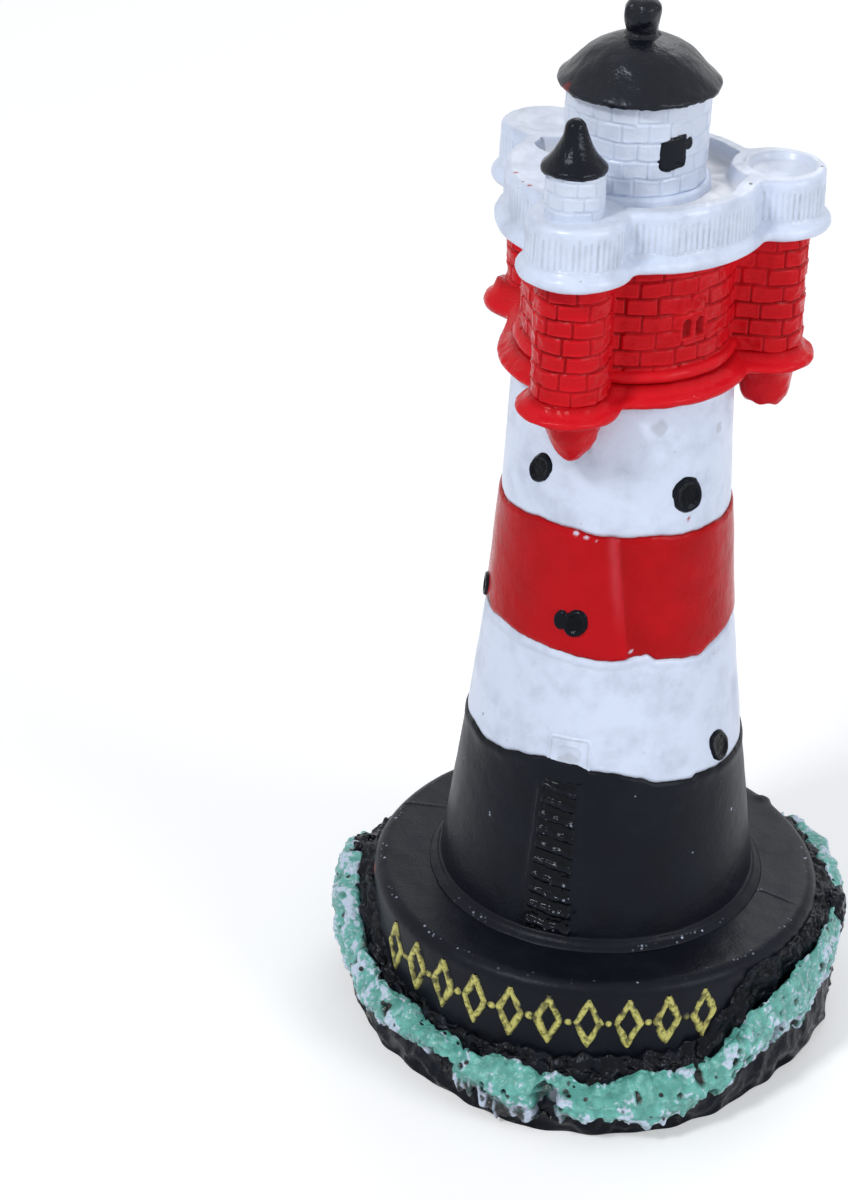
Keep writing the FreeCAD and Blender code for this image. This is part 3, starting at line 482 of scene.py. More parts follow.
def blot_group():
    """Uneven cover of a brushed paint: a mask of soft blots, from 0 to 1."""
    group, given, out = new_group(
        "brushed cover",
        [("Float", "Per metre", 200.0), ("Float", "Share", 0.5), ("Float", "Softness", 0.15)],
        [("Float", "Mask")],
    )
    place = add(group, "ShaderNodeTexCoord").outputs["Object"]
    broad = add(
        group,
        "ShaderNodeTexNoise",
        {"Vector": place, "Scale": given["Per metre"], "Detail": 5.0, "Roughness": 0.62},
    ).outputs["Fac"]
    cut = sums(group, "SUBTRACT", 1.0, given["Share"])
    made = ramp(
        group,
        broad,
        sums(group, "SUBTRACT", cut, given["Softness"]),
        sums(group, "ADD", cut, given["Softness"]),
    )
    group.links.new(made, out["Mask"])
    return group


def speck_group():
    """Scattered small specks: a mask, from 0 to 1."""
    group, given, out = new_group(
        "specks",
        [("Float", "Per metre", 900.0), ("Float", "Size", 0.12), ("Float", "Share", 0.1)],
        [("Float", "Mask")],
    )
    place = add(group, "ShaderNodeTexCoord").outputs["Object"]
    cells = add(group, "ShaderNodeTexVoronoi", {"Vector": place, "Scale": given["Per metre"]})
    near = ramp(group, cells.outputs["Distance"], given["Size"], sums(group, "MULTIPLY", given["Size"], 0.5))
    parts = add(group, "ShaderNodeSeparateColor", {"Color": cells.outputs["Color"]})
    chosen = sums(group, "LESS_THAN", parts.outputs[0], given["Share"])
    group.links.new(sums(group, "MULTIPLY", near, chosen), out["Mask"])
    return group


def cast_group():
    """The slightly uneven skin of cast resin under paint, as a normal."""
    group, given, out = new_group(
        "cast skin",
        [
            ("Float", "Broad per metre", 300.0),
            ("Float", "Fine per metre", 2200.0),
            ("Float", "Fine share", 0.3),
            ("Float", "Depth", 0.0001),
        ],
        [("Vector", "Normal")],
    )
    place = add(group, "ShaderNodeTexCoord").outputs["Object"]
    broad, fine = (
        add(
            group,
            "ShaderNodeTexNoise",
            {"Vector": place, "Scale": given[label], "Detail": 3.0, "Roughness": 0.5},
        ).outputs["Fac"]
        for label in ("Broad per metre", "Fine per metre")
    )
    height = sums(group, "ADD", broad, sums(group, "MULTIPLY", fine, given["Fine share"]))
    bump = add(group, "ShaderNodeBump", {"Height": height, "Distance": given["Depth"]})
    group.links.new(bump.outputs["Normal"], out["Normal"])
    return group


BRUSHED_COVER = blot_group()
SPECKS = speck_group()
CAST_SKIN = cast_group()


def start_finish(name):
    """A new material with its node tree and its shader."""
    material = bpy.data.materials.new(name)
    material.use_nodes = True
    tree = material.node_tree
    return material, tree, tree.nodes["Principled BSDF"]


def mask_of(tree, name):
    """A value that was written on the mesh with its shape."""
    return add(tree, "ShaderNodeAttribute", attribute_name=name).outputs["Fac"]


def feed(tree, shader, **values):
    """Gives the shader's inputs their values. An input's name has _ for each space."""
    for name, value in values.items():
        put(tree, shader.inputs[name.replace("_", " ")], value)


WHITE = (0.71, 0.79, 0.96, 1.0)
WHITE_THIN = (0.53, 0.59, 0.73, 1.0)
WHITE_GREY = (0.40, 0.43, 0.47, 1.0)
BRICK_GREY = (0.62, 0.66, 0.71, 1.0)
RED = (0.37, 0.0040, 0.0050, 1.0)
RED_DEEP = (0.25, 0.002, 0.004, 1.0)
RED_BRIGHT = (0.56, 0.0050, 0.0110, 1.0)
BRICK_RED = (0.54, 0.0045, 0.009, 1.0)
BRICK_RED_BRIGHT = (0.72, 0.011, 0.020, 1.0)
RED_PALE = (0.78, 0.42, 0.42, 1.0)
BLACK = (0.0048, 0.0056, 0.0095, 1.0)
BLACK_WORN = (0.014, 0.017, 0.029, 1.0)
BLACK_DEEP = (0.003, 0.003, 0.004, 1.0)
MINT = (0.155, 0.50, 0.44, 1.0)
MINT_DEEP = (0.060, 0.26, 0.22, 1.0)
FOAM = (0.66, 0.71, 0.90, 1.0)
PAINTED_WELL_TINT = (0.76, 0.77, 0.80, 1.0)
YELLOW = (0.62, 0.58, 0.17, 1.0)
OLIVE = (0.17, 0.17, 0.035, 1.0)
RED_WORN = (0.30, 0.03, 0.02, 1.0)
COOL_SHINE = (0.86, 0.92, 1.0, 1.0)


def blots(tree, **values):
    """A mask of soft blots, as of paint that covers unevenly."""
    return place_group(tree, BRUSHED_COVER, **values)["Mask"]


def dots(tree, **values):
    """A mask of scattered small specks."""
    return place_group(tree, SPECKS, **values)["Mask"]


def lay(tree, colour, mask, share, over):
    """Lays one colour over another by a share of a mask."""
    return mix(tree, sums(tree, "MULTIPLY", mask, share), colour, over)


def overlay(tree, colour, name, share, over):
    """Lays one colour over another where a mask that was written on the mesh says so."""
    return lay(tree, colour, mask_of(tree, name), share, over)


def cast_skin(tree, broad, fine, depth):
    """The normal of uneven cast resin, from how many swells a metre has and how deep they are."""
    return place_group(
        tree, CAST_SKIN, broad_per_metre=broad, fine_per_metre=fine, depth=depth
    )["Normal"]


def white_finish(name, thin_share, brick_share, joint_and_shade_share):
    """Cool white paint over grey resin: it thins out in blots, darkens in joints and stains and, as
    painted shade, in grooves and creases, and takes a painted tint of light in the gallery's well.
    """
    material, tree, shader = start_finish(name)
    thin = blots(tree, per_metre=190.0, share=thin_share, softness=0.22)
    grey = blots(tree, per_metre=340.0, share=thin_share * 0.62, softness=0.08)
    specks = dots(tree, per_metre=700.0, size=0.16, share=0.03)
    colour = mix(tree, thin, WHITE, WHITE_THIN)
    colour = lay(tree, colour, grey, 0.55, WHITE_GREY)
    colour = lay(tree, colour, specks, 0.5, WHITE_GREY)
    colour = overlay(tree, colour, "face", brick_share, BRICK_GREY)
    # A tint painted over the gallery's top for the light in its well
    colour = overlay(tree, colour, "painted_well_light", 1.0, PAINTED_WELL_TINT)
    # joint: dark joints and grey stains, and painted shade in grooves and creases
    colour = overlay(tree, colour, "joint", joint_and_shade_share, WHITE_GREY)
    colour = overlay(tree, colour, "red", 0.95, RED)
    colour = overlay(tree, colour, "dark", 0.97, BLACK)
    normal = cast_skin(tree, broad=420.0, fine=2600.0, depth=0.00012)
    roughness = ramp(tree, thin, 0.0, 1.0, 0.30, 0.48)
    feed(tree, shader, Base_Color=colour, Roughness=roughness, Normal=normal)
    return material


def red_finish(name, base, bright_and_painted_light, bright_share):
    """Glossy red paint: deeper in the joints and, as painted shade, in creases and recesses; lighter as
    painted light on raised edges, upper faces and beside the band's seam; with a few pale specks.
    """
    material, tree, shader = start_finish(name)
    cover = blots(tree, per_metre=160.0, share=bright_share, softness=0.45)
    specks = dots(tree, per_metre=650.0, size=0.14, share=0.02)
    colour = mix(tree, cover, base, bright_and_painted_light)
    # Painted light: lighter red on lit edges, upper faces and beside the seam
    colour = overlay(tree, colour, "bright_and_painted_light", 0.85, bright_and_painted_light)
    # joint: dark joints, and painted shade in creases, recesses and the window's lights
    colour = overlay(tree, colour, "joint", 0.75, RED_DEEP)
    colour = lay(tree, colour, specks, 0.35, RED_PALE)
    # pale: pale flecks, and a thin painted highlight by the red band's seam
    colour = overlay(tree, colour, "pale", 0.8, WHITE)
    colour = overlay(tree, colour, "dark", 0.97, BLACK)
    normal = cast_skin(tree, broad=420.0, fine=1900.0, depth=0.00016)
    roughness = ramp(tree, cover, 0.0, 1.0, 0.26, 0.15)
    feed(tree, shader, Base_Color=colour, Roughness=roughness, Normal=normal)
    feed(tree, shader, Specular_IOR_Level=0.085)
    return material


def black_finish(name, glossy, dull, depth, shine):
    """Black paint over resin, with faint blots where it is rubbed thin and pale specks. It is deeper
    black along seams and, as painted shade, in hollows, creases and dishes. Where a mesh asks for
    them it takes more pale specks: rubbed paint on the drum and the tower's foot, and painted glints
    on the ladder's rungs and the foot ring's edge. glossy and dull are the roughness where the paint
    covers well and where it doesn't, and depth is in metres."""
    material, tree, shader = start_finish(name)
    cover = blots(tree, per_metre=140.0, share=0.36, softness=0.3)
    specks = dots(tree, per_metre=420.0, size=0.07, share=0.07)
    wear_and_glint_specks = dots(tree, per_metre=1700.0, size=0.42, share=0.42)
    colour = lay(tree, BLACK, cover, 0.5, BLACK_WORN)
    # joint: deeper black along seams, and painted shade in hollows, creases and dishes
    colour = overlay(tree, colour, "joint", 1.0, BLACK_DEEP)
    colour = lay(tree, colour, specks, 0.4, WHITE_THIN)
    # Pale specks of rubbed paint, and painted glints where a mesh marks them
    worn = sums(tree, "MULTIPLY", wear_and_glint_specks, mask_of(tree, "worn"))
    colour = mix(tree, worn, colour, WHITE_THIN)
    colour = overlay(tree, colour, "red", 0.8, RED_WORN)
    colour = overlay(tree, colour, "yellow", 0.9, YELLOW)
    normal = cast_skin(tree, broad=350.0, fine=2400.0, depth=depth)
    roughness = ramp(tree, cover, 0.0, 1.0, glossy, dull)
    wet = ramp(tree, mask_of(tree, "wet"), 0.0, 1.0, 1.0, 0.3)
    roughness = sums(tree, "MULTIPLY", roughness, wet)
    feed(tree, shader, Base_Color=colour, Roughness=roughness, Normal=normal)
    feed(tree, shader, Specular_IOR_Level=shine, Specular_Tint=COOL_SHINE)
    return material


def wave_finish(name):
    """Turquoise sponge-like crust, dry-brushed with pale lilac, with black pits."""
    material, tree, shader = start_finish(name)
    cover = blots(tree, per_metre=420.0, share=0.40, softness=0.14)
    streaks = blots(tree, per_metre=1900.0, share=0.5, softness=0.25)
    holes = dots(tree, per_metre=560.0, size=0.28, share=0.40)
    colour = lay(tree, MINT, cover, 0.35, MINT_DEEP)
    # Painted shade in the crevices
    colour = overlay(tree, colour, "painted_crevice_shade", 0.65, MINT_DEEP)
    broken = sums(tree, "MULTIPLY", streaks, 0.7)
    brushed = ramp(tree, sums(tree, "ADD", mask_of(tree, "foam"), broken), 0.54, 1.20)
    colour = lay(tree, colour, brushed, 0.88, FOAM)
    colour = mix(tree, holes, colour, BLACK_DEEP)
    colour = overlay(tree, colour, "pit", 1.0, BLACK_DEEP)
    normal = cast_skin(tree, broad=1100.0, fine=3600.0, depth=0.00022)
    feed(tree, shader, Base_Color=colour, Roughness=0.27, Normal=normal)
    feed(tree, shader, Specular_IOR_Level=0.45)
    return material


def yellow_finish(name):
    """Yellow paint brushed over raised marks, olive where it is thin."""
    material, tree, shader = start_finish(name)
    cover = blots(tree, per_metre=1700.0, share=0.44, softness=0.10)
    colour = mix(tree, cover, YELLOW, OLIVE)
    colour = overlay(tree, colour, "joint", 1.0, BLACK)
    normal = cast_skin(tree, broad=900.0, fine=3600.0, depth=0.0002)
    feed(tree, shader, Base_Color=colour, Roughness=0.5, Normal=normal)
    feed(tree, shader, Specular_IOR_Level=0.35)
    return material


white_paint = white_finish("white paint", thin_share=0.40, brick_share=0.0, joint_and_shade_share=0.55)
white_bricks = white_finish("white brick paint", thin_share=0.30, brick_share=0.40, joint_and_shade_share=0.22)
red_paint = red_finish("red paint", RED, RED_BRIGHT, bright_share=0.50)
red_bricks = red_finish("red brick paint", BRICK_RED, BRICK_RED_BRIGHT, bright_share=0.42)
black_paint = black_finish("satin black paint", glossy=0.36, dull=0.48, depth=0.00012, shine=0.13)
roof_black = black_finish("roof black paint", glossy=0.24, dull=0.36, depth=0.00022, shine=0.27)
gloss_black = black_finish("gloss black paint", glossy=0.09, dull=0.16, depth=0.00025, shine=0.17)
pane_black = black_finish("pane black paint", glossy=0.10, dull=0.16, depth=0.00025, shine=0.09)
rock_paint = black_finish("black rock", glossy=0.22, dull=0.38, depth=0.0003, shine=0.13)
wave_paint = wave_finish("wave crust")
yellow_paint = yellow_finish("yellow paint")


# Plan of the brick storey and of what lies above and below it

ORIELS = ("front", "right", "rear")
oriel_place = {name: middle(f"oriel_parapet_{name}") for name in ORIELS}
oriel_distance = math.hypot(*oriel_place["front"])


def lobed(turn, disc, lobe, fillet):
    """Radius of a round slab that runs softly into a round lobe on each oriel's axis, found by
    coming in from outside until the outline is met."""
    way = spot(turn, 1.0, 0.0)
    radius = oriel_distance + lobe + fillet
    for _ in range(60):
        here = way * radius
        gap = radius - disc
        for place in oriel_place.values():
            other = gap_to(here, place) - lobe
            blend = max(fillet - abs(gap - other), 0.0) / fillet
            gap = min(gap, other) - blend * blend * fillet / 4
        if gap < 0.004:
            break
        radius -= gap
    return radius


def plan_columns(disc, lobe, fillet, step):
    """Places at even steps along a lobed plan, each with its point, the way that it faces, its
    angle from the front and how far along it lies, and the plan's whole length."""
    count = 1440
    turns = [FULL_TURN * number / count for number in range(count + 1)]
    ring = [spot(turn, lobed(turn, disc, lobe, fillet), 0.0) for turn in turns[:-1]]
    ring.append(ring[0])
    lengths = [0.0]
    for start, end in zip(ring, ring[1:]):
        lengths.append(lengths[-1] + (end - start).length)
    girth = lengths[-1]
    many = round(girth / step)
    points = []
    angles = []
    for number in range(many):
        along = girth * number / many
        place = bisect.bisect_right(lengths, along) - 1
        share = (along - lengths[place]) / (lengths[place + 1] - lengths[place])
        points.append(ring[place].lerp(ring[place + 1], share))
        angles.append(turns[place] + (turns[place + 1] - turns[place]) * share)
    columns = []
    for number, point in enumerate(points):
        way = (points[(number + 2) % many] - points[number - 2]).normalized()
        outward = Vector((way.y, -way.x, 0.0))
        columns.append((point, outward, angles[number], girth * number / many))
    return columns, girth


# Brickwork

# How unevenly the bricks lie: how far a course wanders from level and over what length, and by how
# much of a brick's length a course and a single joint are shifted
COURSE_WANDER = 0.26
WANDER_LENGTH = 3.2
COURSE_SHIFT = 0.25
JOINT_SHIFT = 0.22
# Width of the joints of the white walls, and how far apart the points of their meshes lie
WHITE_JOINT = 0.22
WHITE_STEP = 0.18


def brickwork(along, up, girth, bricks, course, joint, seed):
    """How deep a place lies in a joint, from 0 to 1, how near it is to a brick's edge, and the
    brick's own small set-back, from 0 to 1."""
    here = Vector((along, up, 1000 * seed)) / WANDER_LENGTH
    up += noise.noise(here) * COURSE_WANDER
    row = math.floor(up / course)
    brick = girth / bricks
    along += (row % 2) * brick / 2 + (chance(row, 1, seed) - 0.5) * brick * COURSE_SHIFT
    number = round(along / brick)
    upright = number * brick + (chance(number % bricks, row, seed) - 0.5) * brick * JOINT_SHIFT
    to_side = abs(along - upright)
    to_bed = min(up - row * course, (row + 1) * course - up)
    near = min(to_side * 1.35, to_bed)
    cell = math.floor((along - upright) / brick) + number
    filled = ease(-0.35, 0.15, noise.noise(here * 0.6 + Vector((9.0, 4.0, seed))))
    deep = (1 - ease(joint * 0.25, joint, near)) * (0.5 + 0.5 * filled)
    edge = (1 - ease(joint, joint * 2.4, near)) * ease(joint * 0.6, joint, near)
    return deep, edge, chance(cell % bricks, row, seed + 3)


def brick_wall(name, axis, radius, low, high, bricks, courses, depth, seed, sunk=0.0):
    """A round wall of white cast bricks, whose joints are cut to a depth. It may reach further
    down by the length sunk."""
    course = (high - low) / courses
    low -= sunk
    girth = FULL_TURN * radius
    count = round(girth / WHITE_STEP)
    rows = round((high - low) / WHITE_STEP)
    line = [(radius, low + (high - low) * row / rows) for row in range(rows + 1)]

    def shape(turn, reach, height):
        deep, edge, back = brickwork(
            turn * radius, height - low, girth, bricks, course, WHITE_JOINT, seed
        )
        here = spot(turn, reach, height)
        rise = 0.14 * (0.5 - back) + 0.12 * lumps(here, 1.6, seed)
        rise += 0.09 * edge - depth * deep
        return reach + rise, height, deep, (1 - deep) * (1 - edge) * (0.5 + 0.5 * back)

    return turned(name, line, shape, axis, turns_round(count), masks=("joint", "face"))


# Rock base with its crust of waves

drum_radius = half_width("drum")
drum_low, drum_high = span("drum")
rock_tree = tree_of("rock_base")
crust_tree = tree_of("wave_collar")
crust_hem, crust_crest = edge_levels("wave_collar", 144)
rock_ridge = edge_levels("rock_base", 144)[1]
# How far the crust's upper edge dips at the rear left, in millimetres, by angle
CREST_FALL = [
    (-150, 0.0), (-140, 0.3), (-134, 1.0), (-128, 2.4), (-122, 4.0), (-116, 4.4), (-112, 3.2),
    (-108, 1.6), (-103, 0.3), (-96, 0.0), (0, 0.0), (120, 0.0),
]


def crest_level(turn):
    """Height of the crust's upper edge."""
    return follow(crust_crest, turn) - between(CREST_FALL, math.degrees(turn))


def build_rock():
    """The black rock, from under the drum down to the flat face that it stands on."""
    turns = turns_round(700)
    low_rows, high_rows = 20, 24
    grid = [closing(0.0, turns)]
    joint = [0.0] * len(turns)
    yellow = [0.0] * len(turns)
    yellow_place = spot(math.radians(31.6), 35.2, 12.6)
    for row in range(low_rows + high_rows + 3):
        line = []
        for turn in turns:
            crest = crest_level(turn)
            ridge = max(follow(rock_ridge, turn), crest + 0.8)
            if row < low_rows:
                level = (crest - 1.4) * (row / low_rows) ** 1.2
            else:
                share = min((row - low_rows) / high_rows, 1.0)
                level = crest - 1.4 + (ridge - crest + 1.35) * share
            lap = drum_radius + 0.35
            radius = outer_face(rock_tree, turn, max(level, 0.02), lap)
            past = row - low_rows - high_rows
            if past > 0:
                radius, level = lap - 0.8 * past, ridge - 0.25 * past
            here = spot(turn, radius, level)
            wild = ease(crest - 1.6, crest + 0.2, level) * (1.0 if past < 1 else 0.3)
            plain = ease(0.0, 0.5, level) * (1 - wild)
            rough = grit(here, 1.15, 3.0)
            blunt = abs(lumps(here, 4.2, 9.0)) + 0.5 * abs(lumps(here, 2.2, 10.0))
            rise = plain * (0.35 * lumps(here, 4.5, 1.0) + 0.35 - 1.3 * blunt)
            rise += 0.38 * rough * wild + 0.55 * lumps(here, 2.4, 4.0) * wild
            ragged = 0.4 * rough * wild + 0.9 * lumps(here, 1.6, 5.0) * wild
            line.append(spot(turn, radius + rise, max(level + ragged * ease(0.1, 0.9, wild), 0.0)))
            # Deeper black in the low spots of the rough rock: painted shade.
            joint.append(ease(0.35, -0.35, rough) * wild)
            yellow.append(dab(here, yellow_place, 0.8, 6.0))
        grid.append(line)
    rock = skin("rock", grid, {"joint": joint, "yellow": yellow}, wrap=True)
    dress(rock, rock_paint, "rock_paint", "rock_base")


def pitted(point, size, seed, rare):
    """1 in the middle of some scattered pits and 0 elsewhere."""
    distances, centres = noise.voronoi(point / size + Vector((seed, 0, 0)))
    chosen = noise.noise(centres[0] * 7.3)
    wide = 0.20 + 0.45 * abs(chosen)
    return (1 - ease(wide * 0.45, wide, distances[0])) * ease(rare, rare + 0.08, chosen)


# Places where black rock shows through the crust: angle from the front, half width, the share of
# the crust's height up to which it reaches, and how deep the crust is cut there
CRUST_GAPS = [
    (-35.0, 4.2, 0.62, 1.0), (-7.5, 2.8, 0.85, 0.75), (3.5, 1.2, 0.35, 0.6), (12.0, 1.4, 0.25, 0.6),
    (29.0, 1.6, 0.45, 0.7), (50.0, 1.6, 0.5, 0.6), (59.0, 1.4, 0.30, 0.6), (73.0, 1.4, 0.55, 0.5),
    (-60.0, 2.0, 0.35, 0.8), (-71.0, 1.6, 0.45, 0.7), (-88.0, 1.5, 0.5, 0.6), (128.0, 2.2, 0.5, 0.7),
    (160.0, 1.8, 0.4, 0.6), (-162.0, 2.2, 0.55, 0.7), (-131.0, 1.8, 0.4, 0.6),
]
# Larger holes through the crust: angle from the front, height and half width in millimetres
CRUST_HOLES = [
    (-70.0, 13.2, 1.0), (-53.0, 8.8, 1.0), (-61.0, 11.5, 0.6), (-84.0, 12.0, 0.5), (-22.0, 5.4, 0.6),
    (26.5, 8.8, 0.75), (41.0, 8.4, 0.8), (69.0, 14.6, 0.7), (56.0, 13.6, 0.5), (12.0, 8.2, 0.5),
    (150.0, 9.0, 0.8), (-170.0, 9.5, 0.8), (110.0, 11.0, 0.6),
]
# How far along the crust's outline its corners lie
CRUST_BREAKS = [0.0, 0.05, 0.11, 0.19, 0.31, 0.46, 0.61, 0.73, 0.80, 0.87, 0.95, 1.0]


def crust_outline(turn, front):
    """The crust's outline in one direction, from its inner foot up the outside to its inner edge."""
    ring = spot(turn, drum_radius, 0.0)
    teeth = uneven("crust teeth", ring)
    drip = max(lumps(ring, 1.1, 8.0), -0.1) * (1.3 + 1.2 * front)
    low = follow(crust_hem, turn)
    high = crest_level(turn)
    tall = high - low
    hem = max(low + 0.45 - drip, 0.5)
    crest = high + teeth * 0.8
    rock = outer_face(rock_tree, turn, low + 1.0, drum_radius + 2)
    foot, lower, belly, upper, top = (
        outer_face(crust_tree, turn, low + tall * share, rock + 0.8)
        for share in (0.06, 0.22, 0.45, 0.70, 0.92)
    )
    inner = drum_radius + 2.0 + teeth * 0.6 + 0.5 * lumps(ring, 2.6, 7.0)
    return [
        (rock - 0.9, low + 1.7),
        (rock + 0.1, hem + 0.35),
        (min(foot, lower - 0.5) - 0.2, hem),
        (lower - 0.25, hem + 0.12 * tall),
        (lower, low + tall * 0.28),
        (belly, low + tall * 0.48),
        (upper, low + tall * 0.70),
        (top - 0.1, high - 0.6),
        (min(top - 0.5, inner + 1.4), crest),
        (inner + 0.5, crest + 0.1),
        (inner, crest - 0.3),
        (inner - 0.9, crest - 1.6),
    ]


def crust_gap(here, degrees, level):
    """How deep the crust is cut where black rock shows through, from 0 to 1."""
    side_wobble = lumps(here, 1.6, 14.0)
    top_wobble = lumps(here, 1.5, 15.0)
    gap = 0.0
    for place, half, reach, depth in CRUST_GAPS:
        off = abs(degrees_between(degrees, place)) + 0.5 * half * side_wobble
        narrow = 1 - ease(half * 0.6, half * 1.2, off)
        top = 1 - ease(reach - 0.12, reach + 0.08, level + 0.15 * top_wobble)
        gap = max(gap, depth * narrow * top)
    return gap


def crust_hole(here, degrees):
    """1 inside one of the crust's larger holes and 0 elsewhere."""
    hole = 0.0
    for place, height, half in CRUST_HOLES:
        aside = degrees_between(degrees, place)
        if abs(aside) < 4:
            off = math.hypot(math.radians(aside) * drum_radius * 1.15, here.z - height)
            off += 0.35 * lumps(here, 0.9, 44.0)
            hole = max(hole, ease(half * 1.1, half * 0.6, off))
    return hole


def crust_point(turn, front, outline, share):
    """A point of the crust at a share of its outline, and its paint: pale foam, black pits and
    painted shade in its crevices."""
    degrees = degrees_of(turn)
    radius, height = along_line(outline, CRUST_BREAKS, share)
    here = spot(turn, radius, height)
    outside = ease(0.06, 0.14, share) * ease(0.92, 0.80, share)
    above = ease(0.72, 0.82, share) * ease(1.0, 0.93, share)
    level = (share - 0.14) / 0.66

    # Form: round knobs, soft swells and upright strands, with pits and gaps cut into them
    cell = noise.voronoi(here / 1.25)[0][0]
    knob = ease(0.75, 0.12, cell)
    fine = lumps(here, 0.55, 2.0)
    broad = lumps(here, 2.4, 4.0)
    strand = noise.noise(Vector((turn * drum_radius / 0.85, height / 5, 17.0)))
    streak = fine + 0.4 * strand
    low_part = ease(0.46 + 0.20 * front, 0.10 + 0.22 * front, level)
    ridge = ease(-0.05, 0.30, strand)
    gap = crust_gap(here, degrees, level)
    pit = pitted(here, 1.9, 12.0, 0.12) * ease(0.95, 0.7, level)
    pit = max(pit, crust_hole(here, degrees)) * outside
    rise = 0.34 * knob + 0.42 * broad + 0.14 * fine - 0.22
    rise += low_part * (0.30 * ridge - 0.30) - 0.85 * pit - 3.0 * gap * outside
    lift = (0.32 * knob + 0.30 * broad + 0.10 * fine) * above
    point = spot(turn, radius + rise * max(outside, 0.35 * above), height + lift)

    # Shadow between the drips, darkest at the front
    dark = low_part * (1 - ridge) * (0.55 + 0.45 * front) * (0.45 + 0.55 * front)
    dark *= ease(0.30 + 0.26 * front, 0.02 + 0.16 * front, level)
    dark = max(dark, 0.9 * front * ease(0.36, 0.22, level) * ease(-0.02, -0.22, streak))

    # Foam on the drips, on the tips of the lumps and along the crest
    drips = low_part * ridge * ease(-0.10, 0.30, strand + 0.35 * fine + 0.25) * 1.15
    # Paler towards the left and right sides, by the way the crust faces; the tips also take more of it on
    # those sides.
    paler_at_sides = 0.42 * abs(math.sin(turn)) * ease(-0.2, 0.3, strand + fine)
    fringe = front * ease(0.42, 0.26, level + 0.12 * broad) * ease(-0.15, 0.15, streak)
    side = window(degrees, -118, -44, 8) + window(degrees, 66, 130, 8)
    tips = ease(0.12, 0.45, broad + 0.5 * fine + 0.35 * (knob - 0.5) + 0.14 * side) * 0.75
    crest = ease(0.78, 0.84, share) * ease(0.90, 0.85, share) * ease(0.0, 0.4, fine + 0.3 * broad)
    foam = min(max(drips, paler_at_sides, fringe, tips, crest * 0.5), 1.0)
    return point, {
        "foam": foam * (1 - min(pit * 1.5, 1.0)),
        "pit": min(max(pit * 1.5, dark, gap * 1.1), 1.0),
        # Painted shade in the crevices between the knobs and in the hollows.
        "painted_crevice_shade": max(ease(0.42, 0.75, cell), ease(0.0, -0.4, broad) * 0.7),
    }


def build_crust():
    """The sponge-like crust of waves: a jagged upper edge, drips below, and pits."""
    steps = 64
    masks = {"foam": [], "pit": [], "painted_crevice_shade": []}
    columns = []
    for turn in turns_round(1150):
        front = window(degrees_of(turn), -42, -2, 4)
        columns.append((turn, front, crust_outline(turn, front)))
    grid = []
    for row in range(steps + 1):
        line = []
        for turn, front, outline in columns:
            point, values = crust_point(turn, front, outline, row / steps)
            line.append(point)
            note(masks, values)
        grid.append(line)
    crust = skin("wave_crust", grid, masks, wrap=True)
    dress(crust, wave_paint, "wave_paint", "wave_collar")


def build_crag(node, degrees, distance, half, seed):
    """A lump of shiny black stone that breaks the crust."""
    half = Vector(half)
    centre = spot(math.radians(degrees), distance, span(node)[1] + 0.4 - half.z)
    shaped = bmesh.new()
    bmesh.ops.create_icosphere(shaped, subdivisions=6, radius=1.0)
    mesh = bpy.data.meshes.new(node + "_stone")
    for vertex in shaped.verts:
        way = vertex.co.copy()
        blunt = max(abs(way.x), abs(way.y), abs(way.z)) ** -0.45
        size = blunt * (1 + 0.15 * grit(way, 0.6, seed) + 0.10 * lumps(way, 0.3, seed + 1))
        vertex.co = (centre + Vector((way.x * half.x, way.y * half.y, way.z * half.z)) * size) * MM
    shaped.to_mesh(mesh)
    shaped.free()
    mesh.shade_smooth()
    dress(put_in_scene(node + "_stone", mesh), gloss_black, "rock_paint", node)


build_rock()
build_crust()
build_crag("crag_right", degrees=92.0, distance=34.0, half=(2.3, 2.9, 3.4), seed=21.0)
build_crag("crag_rear", degrees=-100.5, distance=34.3, half=(1.8, 2.4, 3.2), seed=33.0)


# Drum

# Mould seams on the drum's top: the angle at their inner and outer end, and these ends' radii
SEAMS = [(-116.5, -111.0, 23.9, 31.6), (76.8, 72.8, 23.6, 29.6), (170.0, 166.0, 24.0, 31.0)]
DRUM_NUB = math.radians(127.5)


def drum_shape(turn, radius, height):
    """Slightly uneven, with faint mould seams across the top and pale specks of rubbed paint along the
    shoulder.
    """
    here = spot(turn, radius, height)
    degrees = math.degrees(turn)
    on_top = ease(drum_high - 0.8, drum_high - 0.1, height)
    seam = 0.0
    for start, end, low, high in SEAMS:
        share = (radius - low) / (high - low)
        line = start + (end - start) * share
        off = abs(degrees_between(degrees, line)) * math.radians(radius)
        off += 0.12 * lumps(here, 1.1, 6.0)
        seam = max(seam, (1 - ease(0.08, 0.34, off)) * window(share, 0.0, 1.0, 0.05))
    seam *= on_top
    swell = uneven("drum", here)
    nub = bell(turn_between(turn, DRUM_NUB) * radius, 0.8)
    nub *= ease(drum_radius - 2.6, drum_radius - 1.2, radius)
    nub *= ease(drum_high - 3.0, drum_high - 1.6, height)
    shoulder = ease(drum_radius - 1.8, drum_radius - 1.5, radius)
    shoulder *= ease(drum_radius - 0.9, drum_radius - 1.15, radius)
    worn = shoulder * ease(0.05, 0.35, lumps(here, 4, 5.0)) * 0.8
    worn = max(worn, seam * ease(0.0, 0.3, lumps(here, 2, 7.0)) * 0.6)
    red = dab(here, spot(math.radians(-83), drum_radius, drum_high - 1.6), 0.9, 8.0) * 0.7
    return (
        radius + swell * (1 - on_top) + 0.35 * nub,
        height + (swell + 0.10 * seam) * on_top + 0.35 * nub,
        seam * 0.4,
        worn,
        red,
    )


